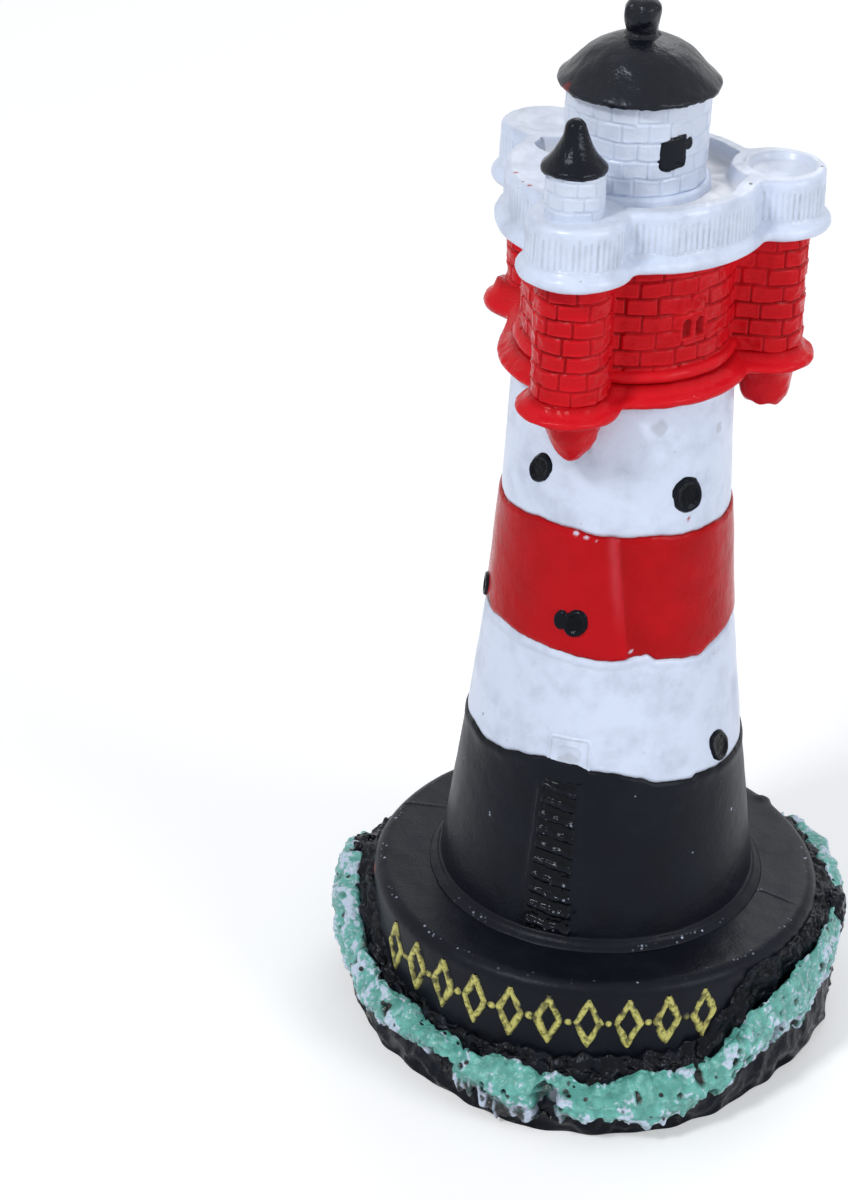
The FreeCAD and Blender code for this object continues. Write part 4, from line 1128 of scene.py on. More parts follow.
def build_drum():
    """The round black drum, with a rounded shoulder."""
    shoulder = 1.9
    corner = [
        (
            drum_radius - shoulder * (1 - math.sin(math.radians(angle))),
            drum_high - shoulder * (1 - math.cos(math.radians(angle))),
        )
        for angle in range(90, -1, -9)
    ]
    side = flow([(drum_radius, drum_low), (drum_radius, corner[0][1])], 1.2)
    top = flow([corner[-1], (22.8, drum_high)], 0.6)
    line = [(0.0, drum_low)] + side[:-1] + corner + top[1:] + [(0.0, drum_high)]
    close = [math.radians((start + end) / 2) for start, end, _, _ in SEAMS]
    turns = turns_round(320, close, 0.08, 24)
    drum = turned("drum_casting", line, drum_shape, turns=turns, masks=("joint", "worn", "red"))
    dress(drum, black_paint, "black_paint", "drum")


build_drum()


# Raised marks on the drum: a row of plain diamonds and dots

MARK_STROKE = 0.40
MARK_RELIEF = 0.34


def build_marks():
    """Open diamonds with a dot between each two, brushed with yellow."""
    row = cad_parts["drum_ornament"].data.vertices
    places = sorted(math.atan2(vertex.co.x, -vertex.co.y) for vertex in row)
    low, high = span("drum_ornament")
    level = (low + high) / 2
    count = 10
    half_wide = 1.6
    half_tall = (high - low) / 2 - 0.25
    first = places[0] + half_wide / drum_radius
    last = places[-1] - half_wide / drum_radius
    step = (last - first) / (count - 1)
    made = []

    def wall(turn, height):
        return drum_radius

    for number in range(count * 2 - 1):
        turn = first + step * number / 2
        seed = 40.0 + number

        def relief(across, up, number=number, seed=seed):
            here = Vector((across, up, seed))
            wobble = 0.22 * lumps(here, 1.5, seed)
            if number % 2:
                near = math.hypot(across, up) + wobble
                half = 0.6
                height = 1 - ease(half * 0.35, half * 1.15, near)
            else:
                slope = half_tall / half_wide
                away = abs(up) + abs(across) * slope - half_tall
                near = abs(away) / math.hypot(1.0, slope) + wobble
                height = 1 - ease(MARK_STROKE * 0.5, MARK_STROKE * 1.4, near)
            thin = ease(0.05, 0.45, lumps(here, 1.0, seed + 5))
            return height * MARK_RELIEF - 0.06, thin * 0.65 + (1 - height) * 0.6

        size = (1.9, 1.9) if number % 2 else (4.4, high - low + 0.8)
        made.append(
            patch(f"mark_{number}", turn, level, *size, wall, relief, step=0.15, masks=("joint",))
        )
    return made


def joined(name, pieces):
    """Several meshes as one piece."""
    with bpy.context.temp_override(
        active_object=pieces[0], selected_editable_objects=pieces, selected_objects=pieces
    ):
        bpy.ops.object.join()
    pieces[0].name = name
    return pieces[0]


dress(joined("drum_marks", build_marks()), yellow_paint, "yellow_paint", "drum_ornament")


# Tower shaft

SHAFT = ("tower_base", "lower_white_band", "red_band", "upper_white_band")
shaft_level = {node: span(node) for node in SHAFT}
shaft_reach = {
    node: (reach_at(node, shaft_level[node][0]), reach_at(node, shaft_level[node][1]))
    for node in SHAFT
}
SEAM_FOOT = 9.5
SEAM_LEAN = 7.0
# How far each band's upper paint line wanders from level, in millimetres, by angle
PAINT_LINES = {
    "tower_base": [(-150, -1.0), (-80, -0.7), (-70, -0.2), (-59, -0.5), (-45, 0.0), (-34, 0.8),
                   (-24, 1.3), (-10, 1.2), (-4, 0.5), (4, 0.35), (16, -0.5), (25, -1.5),
                   (34, -1.9), (41, -2.2), (43, -1.8), (57, -2.3), (71, -2.7), (85, -2.9),
                   (120, -1.6)],
    "lower_white_band": [(-120, 0.2), (-71, 0.5), (-58, 1.0), (-43, 0.7), (-21, 0.5), (-12, 0.3),
                         (-3, 0.0), (6, 0.15), (15, 0.7), (18, 0.9), (24, -0.2), (40, -0.9),
                         (46, -1.2), (57, -0.3), (66, 0.1), (75, 0.6), (130, 0.0)],
    "red_band": [(-130, 0.0), (-72, -0.6), (-54, -0.1), (-39, 0.4), (-20, 0.4), (-6, -0.2),
                 (18, -0.2), (40, -0.6), (55, -0.8), (71, -1.2), (150, 0.0)],
    "upper_white_band": [(-180, 0.0)],
}


def band_radius(node, height):
    """Radius of a band of the shaft at a height."""
    low, high = shaft_level[node]
    foot, top = shaft_reach[node]
    return foot + (top - foot) * (height - low) / (high - low)


def paint_line(node, turn):
    """Height of a band's upper paint line."""
    ring = spot(turn, 18, 0.0)
    wander = between(PAINT_LINES[node], math.degrees(turn))
    if node != "upper_white_band":
        wander += 0.16 * lumps(ring, 3.2, 50.0 + shaft_level[node][1])
        wander += 0.10 * lumps(ring, 0.9, 51.0)
    return shaft_level[node][1] + wander


def seam_distance(turn, height):
    """How far an angle lies to the right of the red band's leaning mould seam, in degrees."""
    low, high = shaft_level["red_band"]
    share = (height - low) / (high - low)
    return math.degrees(turn_between(turn, 0.0)) - SEAM_FOOT + SEAM_LEAN * share


def shaft_skin(node, turn, height):
    """Radius of the shaft's slightly uneven surface."""
    here = spot(turn, 18, height)
    radius = band_radius(node, height) + uneven("shaft", here)
    if node == "red_band":
        seam = seam_distance(turn, height)
        radius += 0.18 * ease(0.5, -0.5, seam) * ease(-34.0, -6.0, seam)
        radius += 0.08 * bell(seam + 1.2, 1.0)
    return radius


# Small dabs of paint on the shaft: band, mask, angle, height in millimetres and size
DABS = [
    ("red_band", "pale", -18.0, 82.3, 0.45), ("red_band", "pale", -13.0, 82.0, 0.35),
    ("red_band", "pale", -8.0, 81.7, 0.25), ("red_band", "pale", 10.5, 66.2, 0.3),
    ("red_band", "dark", -72.5, 65.7, 0.7), ("red_band", "dark", -76.0, 66.1, 0.8),
    ("upper_white_band", "red", 38.9, 83.8, 0.35), ("upper_white_band", "joint", -15.0, 94.2, 0.8),
    ("upper_white_band", "joint", 20.0, 97.5, 1.3), ("upper_white_band", "joint", 60.0, 95.0, 0.9),
    ("lower_white_band", "dark", -62.0, 50.6, 0.2), ("tower_base", "worn", 40.0, 35.2, 0.5),
    ("tower_base", "worn", 66.0, 37.4, 0.9), ("tower_base", "worn", -46.0, 38.0, 0.45),
]


def band_details(node, turn, height, end, share, radius, values):
    """Adds what only one band has: a run of paint below its end, a groove with painted shade in it, or
    a mould seam with a painted sheen and a painted highlight on its left and painted shade on its
    right. Changes the mask values and returns the new radius."""
    degrees = degrees_of(turn)
    below_end = end - height
    if node == "tower_base":
        radius += 0.16 * bell(below_end - 0.54, 0.9) * (1 - window(degrees, -26, -4, 2))
    elif node == "lower_white_band":
        radius += 0.20 * bell(below_end - 0.55, 0.30) * window(degrees, 12, 74, 4)
        groove = bell(below_end - 1.35, 0.22) * window(degrees, -80, 20, 8)
        radius -= 0.12 * groove
        # Painted shade in the groove.
        values["joint"] = max(values["joint"], 0.45 * groove)
    elif node == "red_band":
        seam = seam_distance(turn, height) + 0.5 * lumps(spot(turn, radius, height), 2, 58.0)
        left = ease(0.5, -0.5, seam)
        # Beside the mould seam: painted sheen and a thin painted highlight on its left, painted shade on its
        # right.
        values["bright_and_painted_light"] = left * (0.5 * window(degrees, -36, 20, 8) + 0.5 * ease(-6, -1, seam))
        values["joint"] = max(values["joint"], 0.30 * (1 - left) * ease(16, 2, seam))
        values["pale"] = 0.05 * bell(seam + 2.6, 2.2) * ease(0.1, 0.8, share)
    return radius


def build_band(node, finish, slot):
    """One painted band of the tower, with rounded edges of thick paint."""
    low, high = shaft_level[node]
    below = SHAFT[SHAFT.index(node) - 1] if node != SHAFT[0] else None
    steps = max(24, round((high - low) / 0.36))
    shares = [0.0, 0.003, 0.007, 0.013, 0.020]
    shares += [0.020 + 0.960 * number / steps for number in range(1, steps + 1)]
    shares += [0.987, 0.993, 0.997, 1.0]
    turns = turns_round(420)
    masks = {name: [] for name in ("joint", "dark", "red", "pale", "bright_and_painted_light", "worn")}
    dabs = [
        (mask, spot(math.radians(angle), band_radius(node, level), level), size)
        for band, mask, angle, level, size in DABS
        if band == node
    ]
    starts = [paint_line(below, turn) if below else low for turn in turns]
    ends = [paint_line(node, turn) for turn in turns]
    grid = []
    for row, share in enumerate([0.0] + shares + [1.0]):
        line = []
        closes = row in (0, len(shares) + 1)
        for turn, start, end in zip(turns, starts, ends):
            height = start + (end - start) * share
            from_edge = (1 - share if node == "tower_base" else min(share, 1 - share)) * (high - low)
            radius = shaft_skin(node, turn, height) - 0.20 * (1 - ease(0.0, 0.5, from_edge))
            # Darker along the band's edges: painted shade in the crease where two bands meet.
            values = {"joint": 0.75 * (1 - ease(0.04, 0.20, from_edge))}
            radius = band_details(node, turn, height, end, share, radius, values)
            here = spot(turn, 0.0 if closes else radius, height)
            add_dabs(values, here, dabs, 5.0)
            line.append(here)
            note(masks, values)
        grid.append(line)
    dress(skin(node + "_casting", grid, masks, wrap=True), finish, slot, node)


build_band("tower_base", black_paint, "black_paint")
build_band("lower_white_band", white_paint, "white_paint")
build_band("red_band", red_paint, "red_paint")
build_band("upper_white_band", white_paint, "white_paint")


def build_foot_ring():
    """The soft fillet between the tower and the drum, with pale specks of rubbed paint along its upper edge
    that are laid where it catches the light, as a painted highlight.
    """
    low, high = span("foot_ring")
    reach = half_width("foot_ring")
    inner = band_radius("tower_base", high)
    line = flow(
        [(inner - 1, low), (inner - 1, low), (reach, low), (reach, low),
         (reach - 0.30, low + 0.28), (reach - 0.85, low + 0.62),
         (inner + 0.38, high - 0.50), (inner + 0.06, high), (inner - 1, high)],
        0.2,
    )

    def shape(turn, radius, height):
        here = spot(turn, radius, height)
        degrees = degrees_of(turn)
        edge = window(height, low + 0.30, low + 0.60, 0.10)
        # Pale specks on the edge where light catches it: rubbed paint that is also a painted highlight.
        shine = window(degrees, 15, 50, 5) + 0.4 * window(degrees, -62, -30, 8)
        worn = edge * shine * ease(-0.25, 0.2, lumps(here, 3, 9.0))
        return radius + uneven("foot ring", here), height, worn

    ring = turned("foot_fillet", line, shape, turns=turns_round(300), masks=("worn",))
    dress(ring, black_paint, "black_paint", "foot_ring")


build_foot_ring()


# Ladder and door


def build_ladder():
    """A cast ladder: two stiles and uneven rungs on a low panel, thick with black paint."""
    low, high = span("ladder_panel")
    turn = turn_of("ladder_panel")
    wide = half_width("ladder_panel") * 2.04
    tall = high - low
    rungs = 10
    pitch = tall / rungs
    half_ladder = 3.0
    wall = partial(shaft_skin, "tower_base")

    def relief(across, up):
        here = Vector((across, up, 30.0))
        lean = 1 + 0.16 * (0.5 - (up / tall + 0.5))
        across = across / lean
        side = wide / 2 - abs(across)
        edge = ease(0.0, 1.2, side) * ease(0.0, 0.8, tall / 2 - abs(up))
        rise = 0.14 * edge - 0.03
        sway = 0.12 * lumps(Vector((0.0, up, 300.0)), 2.5, 60.0)
        rail = 1 - ease(0.28, 0.66, abs(abs(across + sway) - half_ladder))
        rail *= ease(-0.45, 0.1, lumps(here, 2.2, 66.0)) * 0.55
        row = (up + tall / 2) / pitch + across / 14
        number = math.floor(row)
        off = (row - number - 0.5) * pitch + 0.20 * lumps(here, 1.3, 61.0)
        inside = 1 - ease(half_ladder - 0.5, half_ladder - 0.1, abs(across))
        strength = (0.75 + 0.4 * chance(number, 4, 64.0)) * (1.0 + 0.4 * lumps(here, 1.0, 62.0))
        rung = (1 - ease(0.16, 0.66, abs(off))) * inside
        rise += 0.56 * max(rail * 0.7, rung * strength)
        blob = ease(0.25, 0.55, lumps(here, 0.7, 65.0)) * inside
        rise += 0.12 * blob + 0.05 * lumps(here, 0.8, 63.0) * inside
        # The joint mask is painted shade between the rungs; the pale specks on the rungs are painted glints.
        return rise, inside * (1 - rung) * (1 - rail) * 0.9, blob * rung * 0.55, inside

    ladder = patch(
        "ladder_casting", turn, (low + high) / 2, wide, tall, wall, relief,
        step=0.15, masks=("joint", "worn", "wet"),
    )
    dress(ladder, black_paint, "gloss_black_paint", "ladder_panel", "ladder_rails", "ladder_rungs")


def build_door():
    """A white plate with round upper corners, a thin groove round it and a sunk leaf. The black
    paint of the tower's foot runs over its lower part."""
    low, high = span("door_frame")
    turn = turn_of("door_frame")
    wide = 6.2
    tall = high - low + 0.35
    level = low + tall / 2
    corner = 1.0
    wall = partial(shaft_skin, "lower_white_band")

    def inset(across, up, margin):
        """How far a place lies inside the door's outline, less a margin."""
        side = wide / 2 - margin - abs(across)
        top = tall / 2 - margin - up
        if side < corner and top < corner:
            return corner - math.hypot(corner - side, corner - top)
        return min(side, top)

    def relief(across, up):
        here = Vector((across, up, 50.0))
        edge = inset(across, up, 0.0)
        rise = 0.26 * ease(0.0, 0.28, edge) - 0.03
        groove = bell(edge - 0.55, 0.14)
        leaf = ease(0.0, 0.3, inset(across, up, 1.35)) * ease(-1.5, -1.1, up)
        rise -= 0.10 * groove + 0.12 * leaf
        line = paint_line("tower_base", turn + across / 19)
        covered = ease(0.12, -0.05, level + up - line)
        smudge = dab(here, Vector((0.4, -0.6, 50.0)), 1.1, 72.0)
        smudge = max(smudge, dab(here, Vector((-0.9, -1.0, 50.0)), 0.7, 73.0))
        # Painted shade in the groove and on the sunk leaf, and a grey smudge of paint on the plate.
        shade = max(0.6 * groove + 0.3 * leaf, 0.95 * smudge)
        rise += 0.02 * lumps(here, 1, 71.0) - 0.6 * covered
        return rise, min(shade, 1.0)

    door = patch(
        "door_plate", turn, level, wide + 0.4, tall + 0.4, wall, relief,
        step=0.12, masks=("joint",),
    )
    dress(door, white_paint, "white_paint", "door_frame", "door_leaf")


build_ladder()
build_door()


# Portholes

# Each porthole's tower band, how far its painted oval lies off the CAD one in degrees and upwards
# in millimetres, its half width and half height, and its lean
PORTHOLES = {
    1: ("upper_white_band", -1.6, -0.3, 1.92, 2.15, 0.42),
    2: ("upper_white_band", 1.3, -0.7, 2.32, 2.55, -0.18),
    3: ("red_band", 1.9, 0.1, 1.7, 1.95, 0.18),
    4: ("red_band", 6.0, -0.3, 1.9, 1.8, 0.30),
    5: ("lower_white_band", 3.0, -1.6, 2.2, 2.35, -0.42),
    6: ("upper_white_band", 0.0, 0.0, 1.9, 2.1, 0.0),
    7: ("red_band", 0.0, 0.0, 1.8, 2.0, 0.0),
    8: ("lower_white_band", 0.0, 0.0, 2.0, 2.2, 0.0),
}
# The porthole whose paint has run out to its left
BLOBBED = 3


def build_porthole(number, band, aside, rise_by, half_wide, half_tall, lean):
    """An oval of thick black paint with a rolled rim and a shallow dish."""
    node = f"porthole_{number}"
    low, high = span(node)
    turn = turn_of(node) + math.radians(aside)
    level = (low + high) / 2 + rise_by
    wall = partial(shaft_skin, band)

    def relief(across, up):
        here = Vector((across, up, number * 10.0))
        up = up - lean * across
        out = math.hypot(across / half_wide, up / half_tall)
        out += 0.09 * lumps(here, 1.6, 80.0 + number) + 0.03 * lumps(here, 0.6, 82.0)
        dish = ease(0.76, 0.50, out)
        if number == BLOBBED:
            blob = math.hypot((across + 2.0) / 0.75, up - 0.5) / 1.85
            out = min(out, 0.25 + blob)
        rim = ease(1.04, 0.86, out)
        rise = 0.42 * rim - 0.32 * dish - 0.03
        # The dish is darkened: painted shade in its hollow.
        return rise + 0.02 * lumps(here, 0.6, 81.0), dish * 0.9

    wide = half_wide * 2.5 + (2.4 if number == BLOBBED else 0.0)
    tall = half_tall * 2.5 + abs(lean) * 1.4 * half_wide
    pane = patch(
        f"porthole_{number}_pane", turn, level, wide, tall, wall, relief, step=0.10, masks=("joint",)
    )
    dress(pane, pane_black, "gloss_black_paint", node)


for porthole, values in PORTHOLES.items():
    build_porthole(porthole, *values)


# Ledge, corbels and the red brick storey

ledge_low = span("ledge")[0]
storey_low, storey_high = span("storey_core")
storey_radius = reach_at("storey_core", storey_high)
oriel_radius = half_width("oriel_parapet_front") - 1.5
COURSE = (storey_high - storey_low) / 7
ledge_radius = 16.6
skirt_radius = oriel_radius + 1.9
LEDGE_KNOB = math.radians(-125)


def near_oriel(here):
    """1 close to an oriel's axis and 0 well away from each."""
    gap = min(gap_to(here, place) for place in oriel_place.values())
    return 1 - ease(skirt_radius * 0.7, skirt_radius * 1.3, gap)


def build_ledge():
    """The ledge: a rounded edge and a wide slope, with a bell-shaped skirt below each oriel."""
    # Each row: inset of the round part, inset of the skirts, and rise above the ledge's foot
    rows = [
        (ledge_radius, 7.0, 0.15), (2.2, 2.6, 0.05), (0.80, 0.95, 0.00), (0.34, 0.42, 0.08),
        (0.10, 0.12, 0.30), (0.0, 0.0, 0.58), (0.04, 0.04, 0.84), (0.20, 0.22, 1.08),
        (0.48, 0.50, 1.26), (0.85, 0.86, 1.42), (1.20, 1.15, 1.66), (1.50, 1.38, 1.95),
        (1.78, 1.58, 2.22), (2.05, 1.75, 2.45), (2.7, 2.1, 2.55), (ledge_radius, 7.0, 2.55),
    ]
    turns = turns_round(560)
    grid = []
    masks = {"joint": [], "bright_and_painted_light": []}
    for disc_inset, lobe_inset, rise in rows:
        line = []
        for turn in turns:
            if disc_inset == ledge_radius:
                line.append(spot(turn, 0.0, ledge_low + rise))
            else:
                radius = lobed(
                    turn, ledge_radius - disc_inset, skirt_radius - lobe_inset, 1.3
                )
                here = spot(turn, radius, rise)
                lumpy = 1 + 0.9 * near_oriel(here)
                swell = uneven("ledge", here) * lumpy
                sag = 0.14 * lumpy * lumps(here, 2.6, 92.0) * ease(1.2, 0.0, rise)
                knob = bell(turn_between(turn, LEDGE_KNOB), math.radians(12))
                radius += 1.5 * knob + swell
                up = rise + knob * (0.1 + 0.75 * rise) + swell * 0.8 + sag
                line.append(spot(turn, radius, ledge_low + up))
            # Painted shade in the creases at the ledge's foot and under the bead, and painted light on its
            # rounded edge and upper slope.
            masks["joint"].append(0.35 * ease(0.3, 0.0, rise) + 0.4 * ease(2.0, 2.5, rise))
            masks["bright_and_painted_light"].append(window(rise, 0.5, 1.9, 0.3) * 0.9)
        grid.append(line)
    dress(skin("ledge_casting", grid, masks, wrap=True), red_bricks, "red_paint", "ledge")


def build_corbel(name):
    """A pointed corbel below the front oriel, and a blunt one below each of the others."""
    node = f"corbel_{name}"
    low = span(node)[0] - {"front": 0.5, "right": 0.6, "rear": 0.3}[name]
    across, depth = oriel_place[name]
    if name == "front":
        points = [(0.0, 0.0), (0.45, 0.12), (1.3, 0.75), (2.2, 1.85), (2.85, 3.1), (3.35, 4.6),
                  (3.7, 5.9), (4.0, 7.4), (0.0, 7.4)]
        across += 0.7
    else:
        points = [(0.0, 0.0), (1.7, 0.0), (2.6, 0.25), (3.1, 1.0), (3.4, 2.4), (3.7, 4.2),
                  (4.1, 6.4), (0.0, 6.4)]
        across += 0.5 if name == "right" else 0.0
    line = flow([(reach, up) for reach, up in points], 0.28)
    seed = {"front": 101.0, "right": 102.0, "rear": 103.0}[name]

    def shape(turn, radius, height):
        here = spot(turn, radius, height)
        swell = 0.26 * lumps(here, 2.3, seed) + 0.08 * lumps(here, 0.9, seed)
        ragged = 0.30 if name != "front" else 0.16
        sag = ragged * lumps(here, 1.6, seed + 3) * (1 - ease(0.0, 1.4, height))
        return max(radius + swell * min(radius, 1.0), 0.0), low + height + sag

    corbel = turned(node + "_casting", line, shape, (across, depth), turns_round(96))
    dress(corbel, red_bricks, "red_paint", node)


window_turn = turn_of("storey_window")
window_low, window_high = span("storey_window")
LIGHT_OFFSET = 1.0


def window_relief(across, height, rise, shade):
    """Works the small window of two round-headed lights and its lumpy hood into the wall."""
    up = height - (window_low + window_high) / 2
    clear_of_window = abs(across) > 4 or not -3 < up < 5.4
    if clear_of_window:
        return rise, shade
    here = Vector((across, up, 70.0))
    wobble = 0.12 * lumps(here, 1.1, 111.0)
    frame_part = ease(-0.1, 0.45, 2.35 - abs(across) + wobble)
    frame_part *= ease(-0.1, 0.45, 1.95 - abs(up) + wobble)
    hood = ease(0.0, 0.9, 2.5 - abs(across + 0.3) + wobble)
    hood *= ease(1.6, 2.4, up) * ease(4.9, 4.0, up + abs(across) * 0.45)
    lumpy = 0.32 + 0.42 * lumps(here, 0.9, 112.0)
    light = 0.0
    for side in (-1, 1):
        off = abs(across - side * LIGHT_OFFSET)
        head = up - 0.55
        near = math.hypot(off, head) if head > 0 else off
        light = max(light, ease(0.74, 0.5, near) * ease(-1.35, -1.1, up))
    rim = ease(0.05, 0.3, light) * ease(1.0, 0.6, light)
    rise = rise * (1 - frame_part) + frame_part * 0.34 + rim * 0.10 - light * 0.85
    rise = rise * (1 - hood) + hood * lumpy
    # The lights are darkened: painted shade in their recesses.
    shade = shade * (1 - max(frame_part, hood * 0.8)) + light * 0.9
    return rise, min(shade, 1.0)


def build_storey():
    """The red bricks of the storey and its oriels, cast in one."""
    columns, girth = plan_columns(storey_radius, oriel_radius, 2.4, 0.19)
    bricks = round(girth / 4.05)
    rows = round((storey_high - storey_low) / 0.19)
    middle_column = min(columns, key=lambda column: abs(turn_between(column[2], window_turn)))
    grid = []
    joint = []
    bright_and_painted_light = []
    for row in range(rows + 1):
        height = storey_low + (storey_high - storey_low) * row / rows
        line = []
        for point, outward, _, along in columns:
            deep, edge, back = brickwork(
                along, height - storey_low, girth, bricks, COURSE, 0.27, 121.0
            )
            here = point + Vector((0.0, 0.0, height))
            rise = uneven("storey", here) + 0.18 * (0.5 - back) + 0.10 * edge - 0.36 * deep
            rise, shade = window_relief(along - middle_column[3], height, rise, deep)
            line.append(here + outward * rise)
            # joint: dark joints, and painted shade in the window's lights; the second list: painted
            # highlights on the bricks' edges.
            joint.append(shade)
            bright_and_painted_light.append(edge * (1 - shade))
        grid.append(line)
    walls = skin("storey_bricks", grid, {"joint": joint, "bright_and_painted_light": bright_and_painted_light}, wrap=True)
    dress(
        walls, red_bricks, "red_paint", "storey_core", "storey_window", "oriel_front",
        "oriel_right", "oriel_rear",
    )


def build_bead():
    """A round bead where the bricks meet the ledge."""
    low = span("foot_bead")[0]
    reach = storey_radius + 0.9
    line = flow(
        [(storey_radius - 1, low + 0.1), (storey_radius + 0.5, low + 0.3),
         (reach, low + 0.75), (reach - 0.1, low + 1.3),
         (storey_radius + 0.35, low + 1.75), (storey_radius - 1, low + 1.9)],
        0.2,
    )

    def shape(turn, radius, height):
        here = spot(turn, radius, height)
        # Lighter on its upper side: painted light.
        bright_and_painted_light = ease(low + 0.7, low + 1.2, height)
        return radius + uneven("bead", here), height, bright_and_painted_light

    bead = turned("storey_bead", line, shape, turns=turns_round(300), loop=True, masks=("bright_and_painted_light",))
    dress(bead, red_bricks, "red_paint", "foot_bead")


build_ledge()
for name in ORIELS:
    build_corbel(name)
build_storey()
build_bead()


# Gallery

cornice_low = span("cornice")[0]
deck_high = span("deck")[1]
parapet_low, parapet_high = span("parapet_front")
round_radius = half_width("oriel_parapet_front")
parapet_radius = storey_radius + 2.8
CORNICE_REACH = 1.05
RIB = 0.80


def build_cornice():
    """The smooth flared band under the ribs, with a rounded lower edge."""
    # Each row: inset from the widest line and rise above the cornice's foot
    rows = [
        (3.0, 0.05), (1.2, 0.0), (0.55, 0.10), (0.16, 0.38), (0.0, 0.80), (0.06, 1.20), (0.30, 1.60),
        (0.62, 1.92), (0.90, 2.20), (1.05, 2.50), (1.15, 2.80), (2.6, 2.9),
    ]
    turns = turns_round(560)
    grid = [closing(cornice_low + 0.1, turns)]
    joint = [0.0] * len(turns)
    for inset, rise in rows:
        line = []
        for turn in turns:
            radius = lobed(
                turn, parapet_radius + (CORNICE_REACH - inset),
                round_radius + (CORNICE_REACH - inset), 1.6
            )
            here = spot(turn, radius, rise)
            swell = uneven("cornice", here)
            sag = 0.10 * lumps(here, 4.0, 152.0) * ease(1.0, 0.0, rise)
            line.append(spot(turn, radius + min(swell, 0.06), cornice_low + rise + swell + sag))
            # Painted shade in the crease where the cornice meets the ribs.
            joint.append(0.40 * bell(rise - 2.45, 0.28))
        grid.append(line)
    grid.append(closing(cornice_low + 2.9, turns))
    joint += [0.0] * len(turns)
    cornice = skin("cornice_casting", grid, {"joint": joint}, wrap=True)
    dress(cornice, white_paint, "white_paint", "cornice")


def gallery_level(here):
    """Height of the gallery's upper side, the painted shade in the crease where the rim falls to the
    deck, and how much of a painted tint of light it takes: a low deck inside a broad rim, filled up
    round the turret and at the rear, and a small bowl on the right."""
    radius = here.xy.length
    degrees = math.degrees(math.atan2(here.x, -here.y))
    rim = parapet_high + uneven("rim", here)
    filled = window(degrees, -108, -34, 9)
    wide = 1.9 + 5.2 * filled + 0.5 * window(degrees, 62, 84, 6)
    wide += 0.2 * lumps(here, 2.6, 183.0)
    well = parapet_radius - wide
    cover = ease(well - 0.55, well, radius)
    bowl = 0.0
    for name, (across, depth) in oriel_place.items():
        gap = gap_to(here, (across, depth)) + 0.15 * lumps(here, 2.2, 184.0)
        cover = max(cover, ease(round_radius + 0.1, round_radius - 0.45, gap))
        if name == "right":
            off = gap_to(here, (across * 1.035, depth * 1.035))
            bowl = 0.95 * ease(4.5, 3.7, off) + 0.85 * ease(3.9, 1.0, off)
        elif name == "rear":
            bowl += 0.35 * ease(4.6, 2.4, gap)
    rim -= 0.30 * filled * window(parapet_radius - radius, 1.6, 5.4, 0.9)
    floor = deck_high + 1.2 + 0.20 * lumps(here, 2.6, 185.0)
    # Painted shade in the crease at the rim's inner edge, and a tint painted for the light in the well,
    # strongest on the deck and faint on the rim.
    shade = 0.6 * cover * (1 - cover)
    return floor + (rim - floor) * cover - bowl, min(shade, 0.8), 0.30 + 0.6 * (1 - cover)


# Small dabs of paint on the gallery: mask, angle, distance from the axis and size, in millimetres
GALLERY_DABS = [
    ("red", -72.0, 15.5, 0.42), ("red", -55.0, 15.6, 0.42), ("red", -60.5, 15.9, 0.25),
    ("dark", 71.5, 15.4, 0.34), ("dark", 96.0, 23.9, 0.3), ("dark", -44.0, 16.5, 0.3),
]


def ribbed_wall(columns, girth, foot, masks):
    """The rows of the gallery's wall, with upright ribs between uneven grooves."""
    ribs = round(girth / RIB)
    wall_top = parapet_high - 0.85
    wall_rows = 26
    grid = []
    for row in range(wall_rows + 1):
        height = foot + (wall_top - foot) * row / wall_rows
        line = []
        for point, outward, _, along in columns:
            here = point + Vector((0.0, 0.0, height))
            place = along / girth * ribs + 0.30 * lumps(point, 2.4, 160.0)
            number = round(place)
            strength = 0.35 + 0.65 * chance(number % ribs, 2, 161.0)
            top = parapet_high - (0.9 + 0.7 * chance(number % ribs, 3, 162.0))
            groove = (1 - ease(0.07, 0.30, abs(place - number))) * strength
            groove *= ease(top, top - 0.6, height)
            groove *= 0.55 + 0.45 * ease(-0.4, 0.2, lumps(here, 1.5, 163.0))
            line.append(here + outward * (uneven("parapet", here) - 0.20 * groove))
            # Painted shade in the grooves between the ribs.
            note(masks, {"joint": groove * 0.95})
        grid.append(line)
    return grid


def rounded_edge(turns, masks):
    """The rows of the wall's rounded upper edge."""
    grid = []
    for inset, drop in ((0.05, 0.60), (0.13, 0.40), (0.26, 0.22), (0.45, 0.08)):
        line = []
        for turn in turns:
            radius = lobed(turn, parapet_radius - inset, round_radius - inset, 1.3 + inset)
            here = spot(turn, radius, parapet_high)
            swell = 0.12 * lumps(here, 3.2, 164.0) * (1 - inset)
            line.append(spot(turn, radius + swell, gallery_level(here)[0] - drop))
            note(masks, {})
        grid.append(line)
    return grid


def gallery_top(turns, masks):
    """The rows of the broad rim and of the deck inside it, towards the lantern's foot."""
    inner = 9.2
    top_rows = 76
    dabs = [
        (mask, spot(math.radians(angle), reach, parapet_high), size)
        for mask, angle, reach, size in GALLERY_DABS
    ]
    rim = [lobed(turn, parapet_radius - 0.7, round_radius - 0.7, 2.0) for turn in turns]
    grid = []
    for row in range(top_rows + 1):
        line = []
        for turn, start in zip(turns, rim):
            here = spot(turn, start + (inner - start) * row / top_rows, parapet_high)
            level, shade, painted_well_light = gallery_level(here)
            # The painted shade of the crease and the painted light of the well go on as masks.
            values = {"joint": shade, "painted_well_light": painted_well_light}
            add_dabs(values, here, dabs, 187.0)
            here.z = level
            line.append(here)
            note(masks, values)
        grid.append(line)
    return grid


